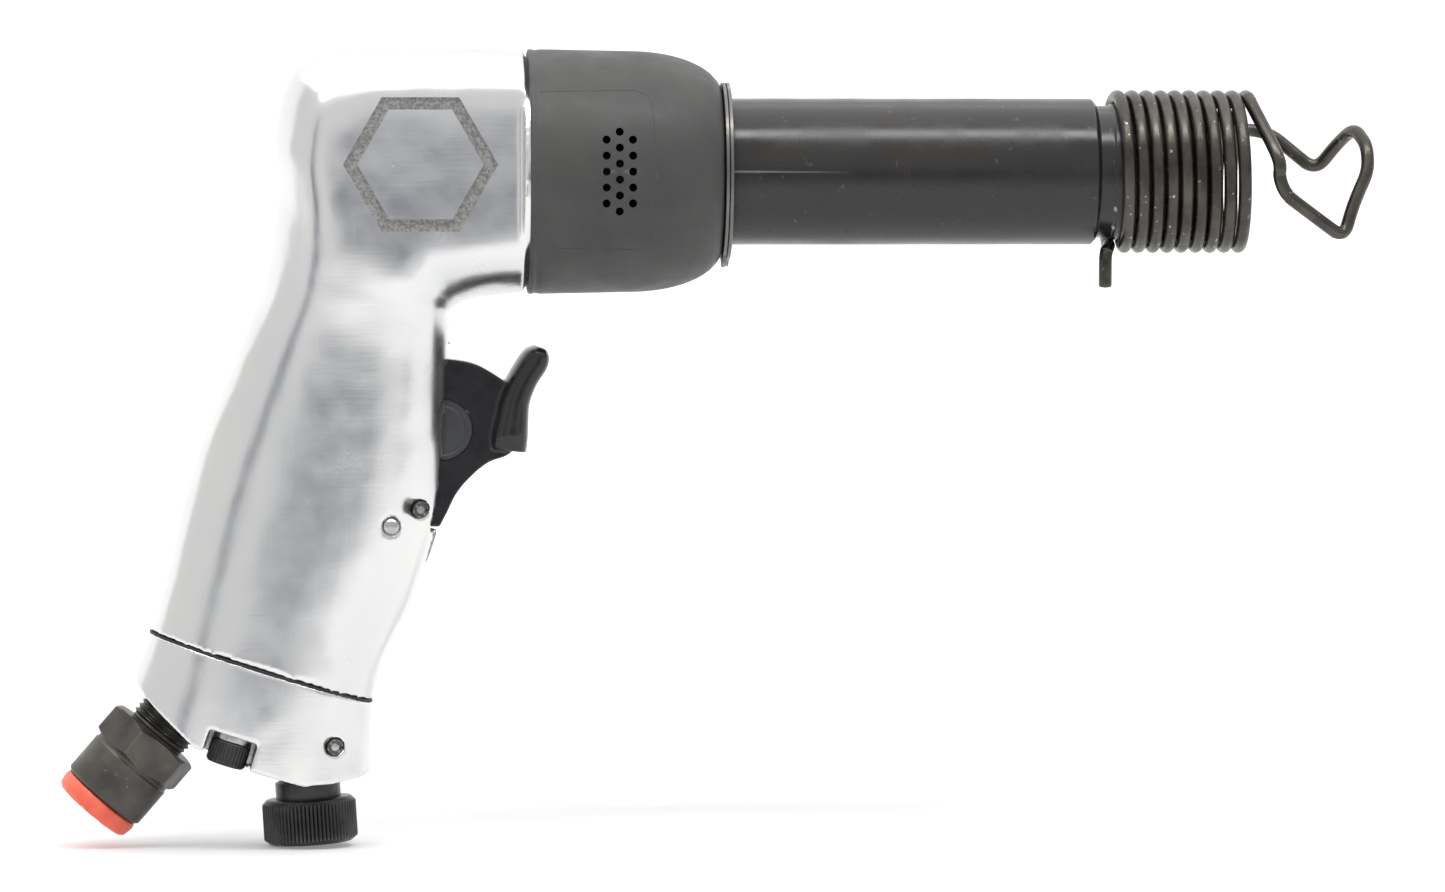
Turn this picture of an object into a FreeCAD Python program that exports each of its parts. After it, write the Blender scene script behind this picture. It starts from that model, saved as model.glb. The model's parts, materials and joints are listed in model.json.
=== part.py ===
"""Pneumatic air hammer with a pistol grip: polished aluminium handle, long black barrel, rubber exhaust
deflector, wire chisel retainer, trigger, throttle valve, power regulator and angled air inlet.

Frame, in millimetres: X runs along the barrel towards the muzzle, Z is up, Y is to the left of the user.
The origin is the centre of the muzzle face, where the chisel's shank goes in. Each sub-part is written to
parts/NODE.step.
"""
import FreeCAD
import Part
import os
from math import cos, sin, radians, pi

Vector = FreeCAD.Vector
ORIGIN = Vector(0, 0, 0)
X, Y, Z = Vector(1, 0, 0), Vector(0, 1, 0), Vector(0, 0, 1)

# ---------------------------------------------------------------- driving dimensions
# barrel
SHANK_BORE_R = 5.15            # for a 10.2 mm (0.401 in) round shank
SHANK_BORE_LENGTH = 38.0
PISTON_BORE_R = 9.525          # 19.05 mm (3/4 in) bore
BARREL_R = 18.25
BARREL_REAR_X = -186.0
SHOULDER_X = -30.25            # front end of the barrel's full diameter
NOSE_R = 16.7                  # plain seat that the retainer's coil grips
NOSE_GROOVE_R = 16.2
THREAD_R = 21.5                # barrel thread and the handle's bore
COLLAR_R = 24.0
COLLAR_LENGTH = 4.0
EXHAUST_PORT_X = -150.4
EXHAUST_PORT_R = 2.5
AIR_PASSAGE_R = 1.8            # long drillings in the barrel wall
AIR_PASSAGE_CIRCLE_R = 13.2
# handle
HEAD_FRONT_X = -173.1
SPIGOT_R = 28.2
SPIGOT_FRONT_X = -168.0
VALVE_BORE_FLOOR_X = -206.0
PLENUM_R = 12.0
PLENUM_REAR_X = -219.0
BASE_TILT = 17.8               # degrees that the grip's base plane leans
GASKET_THICKNESS = 0.4
# trigger and throttle
SLOT_HALF_WIDTH = 6.4
SLOT_REAR_X = -209.0
WEB_HALF_WIDTH = 6.0
PAD_HALF_WIDTH = 9.5
PIVOT = Vector(-199.0, 0, -83.5)
STOP = Vector(-206.25, 0, -87.5)
CROSS_PIN_R = 1.98             # 5/32 in spring pins and dowel
THROTTLE_Z = -64.0
WEAR_DISC_CENTRE = Vector(-193.6, 0, THROTTLE_Z)
WEAR_DISC_R = 7.75
THROTTLE_BUSHING_R = 7.5
THROTTLE_SEAT_X = -221.0
THROTTLE_CHAMBER_REAR_X = -238.0
THROTTLE_CHAMBER_R = 6.5
THROTTLE_PORT_X = -216.5
STEM_R = 2.5
# regulator
REGULATOR_CENTRE = Vector(-226.5, 0, -161.5)   # a point on its axis, inside the knob
REGULATOR_TILT = 3.6           # degrees that its axis leans back at the top
REGULATOR_STEM_R = 7.0
REGULATOR_BORE_R = 7.08
REGULATOR_COLLAR_R = 8.1       # the stem's larger part, just under the base
REGULATOR_COLLAR_TOP = 9.7     # above the regulator's centre
KNOB_R = 11.7
KNOB_LENGTH = 11.0
KNOB_TEETH = 64
REGULATOR_PIN = Vector(-220.25, 0, -142.0)
# air inlet
INLET_FACE = Vector(-260.9, 0, -135.7)         # where the inlet's axis leaves the base
INLET_TILT = 41.0              # degrees from straight down towards the rear
INLET_THREAD_R = 8.4
INLET_BORE_R = 5.9             # female 1/4 in pipe thread
HEX_ACROSS_FLATS = 22.2
INLET_BODY_R = 11.1
PLUG_SEAT_R = 7.6
# base screws
SCREW_FLOOR = Vector(-245.2, 0, -139.1)        # centre of the pocket floor, before the sideways shift
SCREW_Y = 13.6
SCREW_R = 3.0
SCREW_HEAD_R = 4.9
SCREW_HEAD_LENGTH = 6.0
LOCK_WASHER_THICKNESS = 1.6
POCKET_R = 6.2
# exhaust deflector
DEFLECTOR_REAR_X = -172.2
DEFLECTOR_FRONT_X = -123.9
DEFLECTOR_REAR_R = 30.5
DEFLECTOR_SHOULDER_X = -145.0
DEFLECTOR_SHOULDER_R = 29.9
DEFLECTOR_FRONT_R = 21.7
DEFLECTOR_WALL = 3.0
DEFLECTOR_CLEARANCE = 0.06
VENT_R = 1.0
VENT_COLUMN_PITCH = 3.24
VENT_ROW_PITCH = 3.9
# retainer spring
WIRE_R = 1.65
COIL_R = 18.75                 # to the wire's centre
COIL_PITCH = 3.6
COIL_START_X = -26.4
COIL_START_DEGREES = -100.0
COIL_FACETS = 18               # per turn
WIRE_SIDES = 8
COIL_TURNS = 9.6

down_the_grip = Vector(-sin(radians(BASE_TILT)), 0, -cos(radians(BASE_TILT)))
inlet_out = Vector(-sin(radians(INLET_TILT)), 0, -cos(radians(INLET_TILT)))
regulator_up = Vector(-sin(radians(REGULATOR_TILT)), 0, cos(radians(REGULATOR_TILT)))


# ---------------------------------------------------------------- general helpers
def turned(profile, base=ORIGIN, axis=X):
    """A solid of revolution about axis, from (distance along axis, radius) points."""
    points = [Vector(radius, 0, along) for along, radius in profile]
    solid = Part.Face(Part.makePolygon(points + points[:1])).revolve(ORIGIN, Z, 360)
    solid.Placement = FreeCAD.Placement(base, FreeCAD.Rotation(Z, axis))
    return solid


def rod(radius, start, end):
    return Part.makeCylinder(radius, (end - start).Length, start, end - start)


def cross_rod(radius, centre, half_length):
    """A rod across the tool, along Y."""
    return rod(radius, centre - Y * half_length, centre + Y * half_length)


def block(low, high):
    return Part.makeBox(high[0] - low[0], high[1] - low[1], high[2] - low[2], Vector(*low))


def prism(points, half_width):
    """An outline in the XZ plane, made solid from -half_width to half_width along Y."""
    corners = [Vector(x, -half_width, z) for x, z in points]
    return Part.Face(Part.makePolygon(corners + corners[:1])).extrude(Y * 2 * half_width)


def around(count, start_degrees=0.0):
    """Angles, in radians, of count places spaced evenly round a circle."""
    return [radians(start_degrees) + 2 * pi * i / count for i in range(count)]


def on_circle(x, radius, angle):
    return Vector(x, radius * cos(angle), radius * sin(angle))


def ring(major, minor, base, axis=X):
    return Part.makeTorus(major, minor, base, axis)


def as_one(pieces):
    return pieces[0].multiFuse(pieces[1:]).removeSplitter()


def closed_wire(shapes):
    """One wire from the edges of curves and lines that meet end to end."""
    return Part.Wire(Part.__sortEdges__([edge for shape in shapes for edge in shape.Edges]))


def polyline(points):
    return Part.makePolygon([Vector(x, 0, z) for x, z in points])


def smooth_curve(points):
    curve = Part.BSplineCurve()
    curve.interpolate([Vector(x, 0, z) for x, z in points])
    return curve.toShape()


# ---------------------------------------------------------------- handle casting
# Each station is (rear point, front point, half width of the full round, half width of the side flats).
# The stations climb the grip, fan round the corner under the head and end at the head's front face.
HANDLE_STATIONS = [
    ((-266.1, -113.8), (-210.8, -131.6), 20.6, 20.0),
    ((-262.8, -102.0), (-207.5, -120.0), 20.0, 19.0),
    ((-258.3, -84.0), (-199.8, -104.0), 19.6, 18.2),
    ((-253.8, -68.0), (-193.5, -84.5), 19.8, 18.0),
    ((-246.8, -50.0), (-191.8, -64.5), 20.6, 18.6),
    ((-242.5, -39.5), (-191.0, -46.5), 21.8, 19.6),
    ((-237.6, -26.5), (-190.3, -34.8), 24.0, 21.2),
    ((-235.5, -9.0), (-190.0, -33.9), 26.4, 22.4),
    ((-235.3, 11.0), (-189.7, -33.5), 28.4, 22.8),
    ((-230.5, 25.0), (-189.3, -33.1), 29.6, 22.8),
    ((-220.5, 29.6), (-189.0, -32.9), 30.2, 22.8),
    ((-206.0, 30.8), (-188.4, -32.5), 30.6, 22.8),
    ((-185.5, 30.9), (-183.5, -31.3), 30.8, 22.8),
    ((HEAD_FRONT_X, 30.5), (HEAD_FRONT_X, -30.2), 30.4, 22.8),
]
BASE_STATIONS = [
    HANDLE_STATIONS[0],
    ((-269.9, -124.6), (-211.3, -142.5), 21.0, 20.4),
    ((-274.2, -138.0), (-210.4, -157.0), 21.2, 20.6),
]
HEAD_FIRST_STATION = 7
SECTION_POINTS = 40
FLAT_SHARPNESS = 12.0


def section_point(station, angle):
    """A point on a station's outline: an ellipse whose sides are softly held in to the flats."""
    rear, front, round_half, flat_half = station
    middle = ((rear[0] + front[0]) / 2, (rear[1] + front[1]) / 2)
    along = cos(angle) / 2
    side = abs(round_half * sin(angle))
    held = (side ** -FLAT_SHARPNESS + flat_half ** -FLAT_SHARPNESS) ** (-1 / FLAT_SHARPNESS) if side > 0.01 else side
    return Vector(middle[0] + along * (front[0] - rear[0]),
                  held if sin(angle) > 0 else -held,
                  middle[1] + along * (front[1] - rear[1]))


def lofted(stations):
    wires = []
    for station in stations:
        outline = Part.BSplineCurve()
        outline.interpolate(Points=[section_point(station, a) for a in around(SECTION_POINTS, 4.5)],
                            PeriodicFlag=True)
        wires.append(Part.Wire([outline.toShape()]))
    return Part.makeLoft(wires, True, False)


def joined_lofts(stations, middle):
    """Two lofts that share station number middle, sewn into one solid without a wall between them."""
    rear, front = stations[middle][:2]
    centre = Vector((rear[0] + front[0]) / 2, 0, (rear[1] + front[1]) / 2)
    faces = lofted(stations[:middle + 1]).Faces + lofted(stations[middle:]).Faces
    shell = Part.makeShell([face for face in faces if (face.CenterOfMass - centre).Length > 0.5])
    shell.sewShape()
    return Part.makeSolid(shell)


def screw_places():
    return [SCREW_FLOOR + Y * SCREW_Y * side for side in (-1, 1)]


def handle():
    body = joined_lofts(HANDLE_STATIONS, HEAD_FIRST_STATION)
    spigot = rod(SPIGOT_R, Vector(HEAD_FRONT_X, 0, 0), Vector(SPIGOT_FRONT_X, 0, 0))
    passage_low = Vector(-229.0, 0, -127.0)
    chamber_middle = Vector(-230.0, 0, THROTTLE_Z)
    port_top = Vector(THROTTLE_PORT_X, 0, -6.0)
    port_low = Vector(THROTTLE_PORT_X, 0, THROTTLE_Z)
    cuts = [
        rod(THREAD_R, Vector(SPIGOT_FRONT_X + 1, 0, 0), Vector(VALVE_BORE_FLOOR_X, 0, 0)),
        rod(PLENUM_R, Vector(VALVE_BORE_FLOOR_X + 1, 0, 0), Vector(PLENUM_REAR_X, 0, 0)),
        block((SLOT_REAR_X, -SLOT_HALF_WIDTH, -89.5), (-180, SLOT_HALF_WIDTH, -43.0)),
        block((-210.5, -SLOT_HALF_WIDTH, -96.0), (-198.2, SLOT_HALF_WIDTH, -85.0)),
        rod(THROTTLE_BUSHING_R, Vector(SLOT_REAR_X + 1, 0, THROTTLE_Z), Vector(THROTTLE_SEAT_X, 0, THROTTLE_Z)),
        rod(THROTTLE_CHAMBER_R, Vector(THROTTLE_SEAT_X + 1, 0, THROTTLE_Z),
            Vector(THROTTLE_CHAMBER_REAR_X, 0, THROTTLE_Z)),
        rod(4.2, port_low, port_top),
        rod(5.5, passage_low, chamber_middle),
        cross_rod(CROSS_PIN_R, PIVOT, 30),
        cross_rod(CROSS_PIN_R, STOP, 30),
    ]
    cuts += [rod(SCREW_R, place - down_the_grip * 10, place - down_the_grip * 31) for place in screw_places()]
    body = body.fuse(spigot)
    for tool in cuts:
        body = body.cut(tool)
    return body


# ---------------------------------------------------------------- base of the grip
# The base's underside from the front, back to the inlet's face: a shelf, a stepped rib and a slanted face.
BASE_UNDERSIDE = [
    (-205.0, -110.0), (-205.0, -140.0), (-211.2, -148.2), (-212.6, -149.8), (-220.5, -151.2), (-230.5, -151.9),
    (-240.2, -152.8), (-243.2, -151.8), (-244.8, -149.6), (-245.5, -147.4), (-247.6, -145.6), (-251.5, -143.4),
    (-255.0, -141.9), (-267.2, -130.0), (-269.2, -127.0), (-272.0, -118.0), (-275.0, -100.0),
]


def below_base_plane(offset, depth=60.0):
    """Everything within depth below the grip's lower end, starting offset down the grip."""
    rear, front = HANDLE_STATIONS[0][:2]
    grip_end = Vector((rear[0] + front[0]) / 2, 0, (rear[1] + front[1]) / 2)
    slab = Part.makeBox(120, 120, depth, Vector(-60, -60, -depth))
    slab.Placement = FreeCAD.Placement(grip_end + down_the_grip * offset, FreeCAD.Rotation(Z, -down_the_grip))
    return slab


def base_body():
    return lofted(BASE_STATIONS).common(prism(BASE_UNDERSIDE, 30))


def base_cuts():
    regulator_top = REGULATOR_CENTRE + regulator_up * 29.5
    cuts = [
        rod(INLET_THREAD_R, INLET_FACE + inlet_out * 6, INLET_FACE - inlet_out * 15),
        rod(5.0, INLET_FACE, INLET_FACE - inlet_out * 19.0),
        rod(REGULATOR_BORE_R, REGULATOR_CENTRE, regulator_top),
        rod(REGULATOR_COLLAR_R + 0.3, REGULATOR_CENTRE, REGULATOR_CENTRE + regulator_up * (REGULATOR_COLLAR_TOP + 0.8)),
        rod(5.0, regulator_top - regulator_up, regulator_top + regulator_up * 12),
        rod(4.0, INLET_FACE - inlet_out * 13.5, REGULATOR_CENTRE + regulator_up * 27),
        cross_rod(CROSS_PIN_R, REGULATOR_PIN, 30),
    ]
    for place in screw_places():
        cuts += [rod(SCREW_R + 0.3, place, place - down_the_grip * 25)] + pocket(place)
    return cuts


def pocket(place):
    """The notch round one screw's head, open downwards and to its side."""
    outwards = 1 if place.y > 0 else -1
    slot = Part.makeBox(2 * POCKET_R, 20, 25, Vector(-POCKET_R, 0 if outwards > 0 else -20, 0))
    slot.Placement = FreeCAD.Placement(place, FreeCAD.Rotation(Y, 180 + BASE_TILT))
    return [rod(POCKET_R, place, place + down_the_grip * 25), slot]


def handle_base():
    return base_body().common(below_base_plane(GASKET_THICKNESS)).cut(base_cuts())


def base_gasket():
    sheet = lofted(BASE_STATIONS).common(below_base_plane(0, GASKET_THICKNESS))
    return sheet.cut(base_cuts())


def base_screws():
    screws = []
    for place in screw_places():
        under_head = place + down_the_grip * LOCK_WASHER_THICKNESS
        head = turned([(0, 0), (0, SCREW_HEAD_R), (SCREW_HEAD_LENGTH - 0.6, SCREW_HEAD_R),
                       (SCREW_HEAD_LENGTH, SCREW_HEAD_R - 0.6), (SCREW_HEAD_LENGTH, 0)], under_head, down_the_grip)
        shank = rod(SCREW_R, under_head, place - down_the_grip * 29)
        head_end = under_head + down_the_grip * SCREW_HEAD_LENGTH
        socket = hexagon(5.0, 3.5)
        socket.Placement = FreeCAD.Placement(head_end - down_the_grip * 3.5, FreeCAD.Rotation(Z, down_the_grip))
        screws.append(head.fuse(shank).removeSplitter().cut(socket))
    return Part.makeCompound(screws)


def hexagon(across_flats, length):
    corners = [Vector(cos(a), sin(a), 0) * (across_flats / 2 / cos(pi / 6)) for a in around(6)]
    return Part.Face(Part.makePolygon(corners + corners[:1])).extrude(Z * length)


def base_lock_washers():
    washers = []
    for place in screw_places():
        whole = turned([(0, SCREW_R + 0.1), (0, SCREW_HEAD_R - 0.1), (LOCK_WASHER_THICKNESS, SCREW_HEAD_R - 0.1),
                        (LOCK_WASHER_THICKNESS, SCREW_R + 0.1)], place, down_the_grip)
        slit = Part.makeBox(0.7, 8, 6, Vector(-0.35, 0, -3))
        slit.rotate(ORIGIN, Y, 30)
        slit.Placement = FreeCAD.Placement(place, FreeCAD.Rotation(Z, down_the_grip)).multiply(slit.Placement)
        washers.append(whole.cut(slit))
    return Part.makeCompound(washers)


# ---------------------------------------------------------------- pins
def spring_pin(centre, half_length):
    """A rolled pin, which is a tube with a slit along it."""
    tube = cross_rod(CROSS_PIN_R, centre, half_length).cut(cross_rod(1.0, centre, half_length + 1))
    slit = block((centre.x, -half_length - 1, centre.z - 0.2),
                 (centre.x + CROSS_PIN_R + 1, half_length + 1, centre.z + 0.2))
    return tube.cut(slit)


def trigger_pivot_pin():
    return spring_pin(PIVOT, 16.2)


def trigger_stop_pin():
    return cross_rod(CROSS_PIN_R, STOP, 16.8)


def regulator_pin():
    return spring_pin(REGULATOR_PIN, 17.6)


# ---------------------------------------------------------------- trigger
# The web's outline goes along its top edge, down behind the finger pad, round the underside to the pivot and up
# its rear. The pad's outline is the curved finger rest in front of it.
WEB_TOP = [(-191.0, -46.6), (-185.2, -47.8), (-180.2, -50.5), (-175.0, -52.2)]
WEB_UNDERSIDE = [(-173.0, -68.4), (-182.0, -72.0), (-186.5, -75.8), (-190.0, -80.0), (-192.3, -84.6),
                 (-194.2, -87.9)]
PAD_BACK = [(-182.4, -71.4), (-181.6, -65.5), (-179.4, -57.5), (-176.2, -50.2), (-172.3, -44.4)]
PAD_FRONT = [(-165.4, -47.2), (-169.2, -53.2), (-171.2, -58.6), (-171.7, -62.4), (-171.5, -66.6)]
PAD_TIP = (-168.0, -43.0)
PAD_CHIN = (-172.2, -68.2)
WEB_REAR = [(-197.0, -88.0), (-200.5, -80.0), (-200.5, -46.0)]
# The tail hooks under the stop dowel.
TAIL = [(-198.8, -87.8), (-201.5, -85.0), (-203.5, -85.0), (-203.5, -89.6), (-208.0, -89.6), (-208.0, -92.4),
        (-203.6, -92.4)]


def trigger():
    boss = cross_rod(4.5, PIVOT, WEB_HALF_WIDTH)
    web_outline = closed_wire([
        smooth_curve(WEB_TOP), polyline([WEB_TOP[-1], WEB_UNDERSIDE[0]]), smooth_curve(WEB_UNDERSIDE),
        polyline([WEB_UNDERSIDE[-1]] + WEB_REAR + [WEB_TOP[0]])])
    web = Part.Face(web_outline).extrude(Y * 2 * WEB_HALF_WIDTH)
    web.translate(Y * -WEB_HALF_WIDTH)
    tail = prism(TAIL, WEB_HALF_WIDTH)
    tip = Part.Arc(*[Vector(x, 0, z) for x, z in (PAD_BACK[-1], PAD_TIP, PAD_FRONT[0])]).toShape()
    pad_outline = closed_wire([smooth_curve(PAD_BACK), tip, smooth_curve(PAD_FRONT),
                               polyline([PAD_FRONT[-1], PAD_CHIN, PAD_BACK[0]])])
    pad = Part.Face(pad_outline).extrude(Y * 2 * PAD_HALF_WIDTH)
    pad.translate(Y * -PAD_HALF_WIDTH)
    pad = pad.makeFillet(1.6, [edge for edge in pad.Edges if edge.BoundBox.YLength < 0.01])
    solid = as_one([web, boss, tail, pad])
    cuts = [cross_rod(CROSS_PIN_R + 0.05, PIVOT, 20), cross_rod(WEAR_DISC_R, WEAR_DISC_CENTRE, 20)]
    return solid.cut(cuts)


def trigger_wear_disc():
    """The round insert that pushes the throttle stem, a little below the web's faces."""
    return cross_rod(WEAR_DISC_R, WEAR_DISC_CENTRE, WEB_HALF_WIDTH - 0.5)


# ---------------------------------------------------------------- throttle valve, along X at THROTTLE_Z
def along_throttle(profile):
    return turned(profile, Vector(0, 0, THROTTLE_Z), X)


def throttle_bushing():
    seat, front = THROTTLE_SEAT_X, SLOT_REAR_X
    body = along_throttle([
        (seat, 4.2), (seat, THROTTLE_BUSHING_R), (seat + 2.5, THROTTLE_BUSHING_R), (seat + 2.5, 6.4),
        (seat + 6.5, 6.4), (seat + 6.5, THROTTLE_BUSHING_R), (seat + 8.8, THROTTLE_BUSHING_R), (seat + 8.8, 6.0),
        (seat + 10.5, 6.0), (seat + 10.5, THROTTLE_BUSHING_R), (front, THROTTLE_BUSHING_R), (front, STEM_R + 0.05),
        (front - 0.9, STEM_R + 0.05), (front - 0.9, 3.8), (front - 2.3, 3.8), (front - 2.3, STEM_R + 0.05),
        (seat + 8.0, STEM_R + 0.05), (seat + 7.0, 4.2)])
    middle = Vector(THROTTLE_PORT_X, 0, THROTTLE_Z)
    ports = [rod(1.5, middle, middle + on_circle(0, 9, a)) for a in around(4, 45)]
    return body.cut(ports)


def throttle_bushing_o_ring():
    return ring(6.75, 0.74, Vector(THROTTLE_SEAT_X + 9.65, 0, THROTTLE_Z))


def throttle_stem_o_ring():
    return ring(STEM_R + 0.63, 0.6, Vector(SLOT_REAR_X - 1.6, 0, THROTTLE_Z))


def throttle_stem():
    tip = WEAR_DISC_CENTRE.x - WEAR_DISC_R - 0.06
    seat = THROTTLE_SEAT_X
    return along_throttle([
        (tip, 0), (tip, STEM_R - 0.4), (tip - 0.4, STEM_R), (seat - 1.2, STEM_R), (seat - 1.2, 5.4),
        (seat - 3.0, 5.4), (seat - 3.0, 2.4), (seat - 7.0, 2.4), (seat - 7.0, 0)])


def throttle_seat_washer():
    seat = THROTTLE_SEAT_X
    return along_throttle([(seat, STEM_R), (seat, 5.2), (seat - 1.2, 5.2), (seat - 1.2, STEM_R)])


def wire_through(points, radius, sides):
    """A wire drawn as short straight facets through points, light enough for a long coil."""
    across = Y
    sections = []
    for i, point in enumerate(points):
        ahead = (points[min(i + 1, len(points) - 1)] - points[max(i - 1, 0)]).normalize()
        across = (across - ahead * across.dot(ahead)).normalize()
        up = ahead.cross(across)
        corners = [point + (across * cos(a) + up * sin(a)) * radius for a in around(sides)]
        sections.append(Part.makePolygon(corners + corners[:1]))
    return Part.makeLoft(sections, True, True)


def coil_points(start, radius, pitch, turns, start_degrees, facets):
    """Places along a right-handed coil about X, with that many to each turn."""
    steps = round(turns * facets)
    points = []
    for i in range(steps + 1):
        turned_by = turns * i / steps
        angle = radians(start_degrees) + 2 * pi * turned_by
        points.append(start + on_circle(pitch * turned_by, radius, angle))
    return points


def throttle_spring():
    rear = THROTTLE_CHAMBER_REAR_X + 0.45
    length = THROTTLE_SEAT_X - 3.0 - 0.45 - rear
    turns = 6
    path = coil_points(Vector(rear, 0, THROTTLE_Z), 3.6, length / turns, turns, 0, 16)
    return wire_through(path, 0.4, 8)


# ---------------------------------------------------------------- power regulator
def along_regulator(profile):
    return turned(profile, REGULATOR_CENTRE, regulator_up)


def knurled(radius, low, high, teeth, depth):
    """A straight-knurled blank about Z, from low to high."""
    corners = []
    for i, angle in enumerate(around(2 * teeth)):
        r = radius if i % 2 else radius - depth
        corners.append(Vector(r * cos(angle), r * sin(angle), low))
    return Part.Face(Part.makePolygon(corners + corners[:1])).extrude(Z * (high - low))


def regulator_knob():
    low, high = -KNOB_LENGTH / 2, KNOB_LENGTH / 2
    grip = knurled(KNOB_R, low, high, KNOB_TEETH, 0.45)
    blank = turned([(low, 0), (low, KNOB_R - 1.6), (low + 1.3, KNOB_R + 0.1), (high - 1.0, KNOB_R + 0.1),
                    (high, KNOB_R - 1.2), (high, 0)], ORIGIN, Z)
    grip = grip.common(blank)
    grip.Placement = FreeCAD.Placement(REGULATOR_CENTRE, FreeCAD.Rotation(Z, regulator_up))
    pin_along = (REGULATOR_PIN - REGULATOR_CENTRE).dot(regulator_up)
    stem = along_regulator([
        (high - 1, 0), (high - 1, REGULATOR_COLLAR_R), (REGULATOR_COLLAR_TOP, REGULATOR_COLLAR_R),
        (REGULATOR_COLLAR_TOP + 0.4, REGULATOR_STEM_R),
        (pin_along - 5.0, REGULATOR_STEM_R), (pin_along - 5.0, 5.6), (pin_along - 3.3, 5.6),
        (pin_along - 3.3, REGULATOR_STEM_R), (pin_along - 2.2, REGULATOR_STEM_R), (pin_along - 2.2, 5.3),
        (pin_along + 2.2, 5.3), (pin_along + 2.2, REGULATOR_STEM_R), (29.0, REGULATOR_STEM_R), (29.0, 3.5),
        (pin_along + 3.0, 3.5), (pin_along + 3.0, 0)])
    port = REGULATOR_CENTRE + regulator_up * 26.6
    return grip.fuse(stem).removeSplitter().cut(rod(2.2, port, port - X * 12))


def regulator_o_ring():
    along = (REGULATOR_PIN - REGULATOR_CENTRE).dot(regulator_up) - 4.15
    return ring(6.33, 0.72, REGULATOR_CENTRE + regulator_up * along, regulator_up)


# ---------------------------------------------------------------- air inlet
def along_inlet(profile):
    return turned(profile, INLET_FACE, inlet_out)


def inlet_bushing():
    thread_out, hex_out, body_out = 5.8, 14.1, 26.2
    pitch, depth = 1.41, 0.85
    root = INLET_THREAD_R - depth
    crests = 4
    first = thread_out - 0.2 - crests * pitch
    thread = [(first, INLET_THREAD_R)]
    for i in range(crests):
        at = first + i * pitch
        thread += [(at + pitch * 0.5, root), (at + pitch * 0.95, INLET_THREAD_R)]
    shell = along_inlet([
        (-11.0, 5.0), (-11.0, INLET_THREAD_R - 0.8), (-10.2, INLET_THREAD_R)] + thread + [
        (thread_out - 0.1, root), (hex_out, root), (hex_out, INLET_BODY_R), (body_out - 0.8, INLET_BODY_R),
        (body_out, INLET_BODY_R - 0.8), (body_out, PLUG_SEAT_R), (body_out - 3.6, PLUG_SEAT_R),
        (body_out - 3.6 - 0.9, INLET_BORE_R), (hex_out - 5.0, INLET_BORE_R), (hex_out - 5.0, 5.0)])
    nut = hexagon(HEX_ACROSS_FLATS, hex_out - thread_out)
    nut.rotate(ORIGIN, Z, 14)
    corner = HEX_ACROSS_FLATS / 2 / cos(pi / 6)
    chamfered = turned([(0, 0), (0, corner - 2.4), (2.2, corner + 0.4), (hex_out - thread_out - 0.7, corner + 0.4),
                        (hex_out - thread_out, corner - 0.9), (hex_out - thread_out, 0)], ORIGIN, Z)
    nut = nut.common(chamfered)
    nut.Placement = FreeCAD.Placement(INLET_FACE + inlet_out * thread_out, FreeCAD.Rotation(Z, inlet_out))
    through = rod(5.0, INLET_FACE - inlet_out * 12, INLET_FACE + inlet_out * (hex_out - 4))
    wide = rod(INLET_BORE_R, INLET_FACE + inlet_out * (hex_out - 5.0), INLET_FACE + inlet_out * 21)
    return shell.fuse(nut.cut([through, wide])).removeSplitter()


def inlet_screen():
    """A domed mesh strainer, drawn as a thin cup, held in the bushing's inner end."""
    return along_inlet([(-10.5, 0), (-10.5, 3.6), (-9.8, 4.4), (-2.0, 4.95), (8.5, 4.95), (8.5, 4.6),
                        (-2.0, 4.6), (-9.4, 4.1), (-9.9, 3.4), (-9.9, 0)])


def inlet_plug():
    """The push-in shipping plug that keeps dirt out of the inlet."""
    face = 26.2
    return along_inlet([(face - 3.2, 0), (face - 3.2, PLUG_SEAT_R - 0.5), (face - 2.8, PLUG_SEAT_R - 0.05),
                        (face, PLUG_SEAT_R - 0.05), (face, 10.6), (face + 1.2, 10.7), (face + 3.8, 10.2),
                        (face + 4.6, 9.5), (face + 4.6, 0)])


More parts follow.
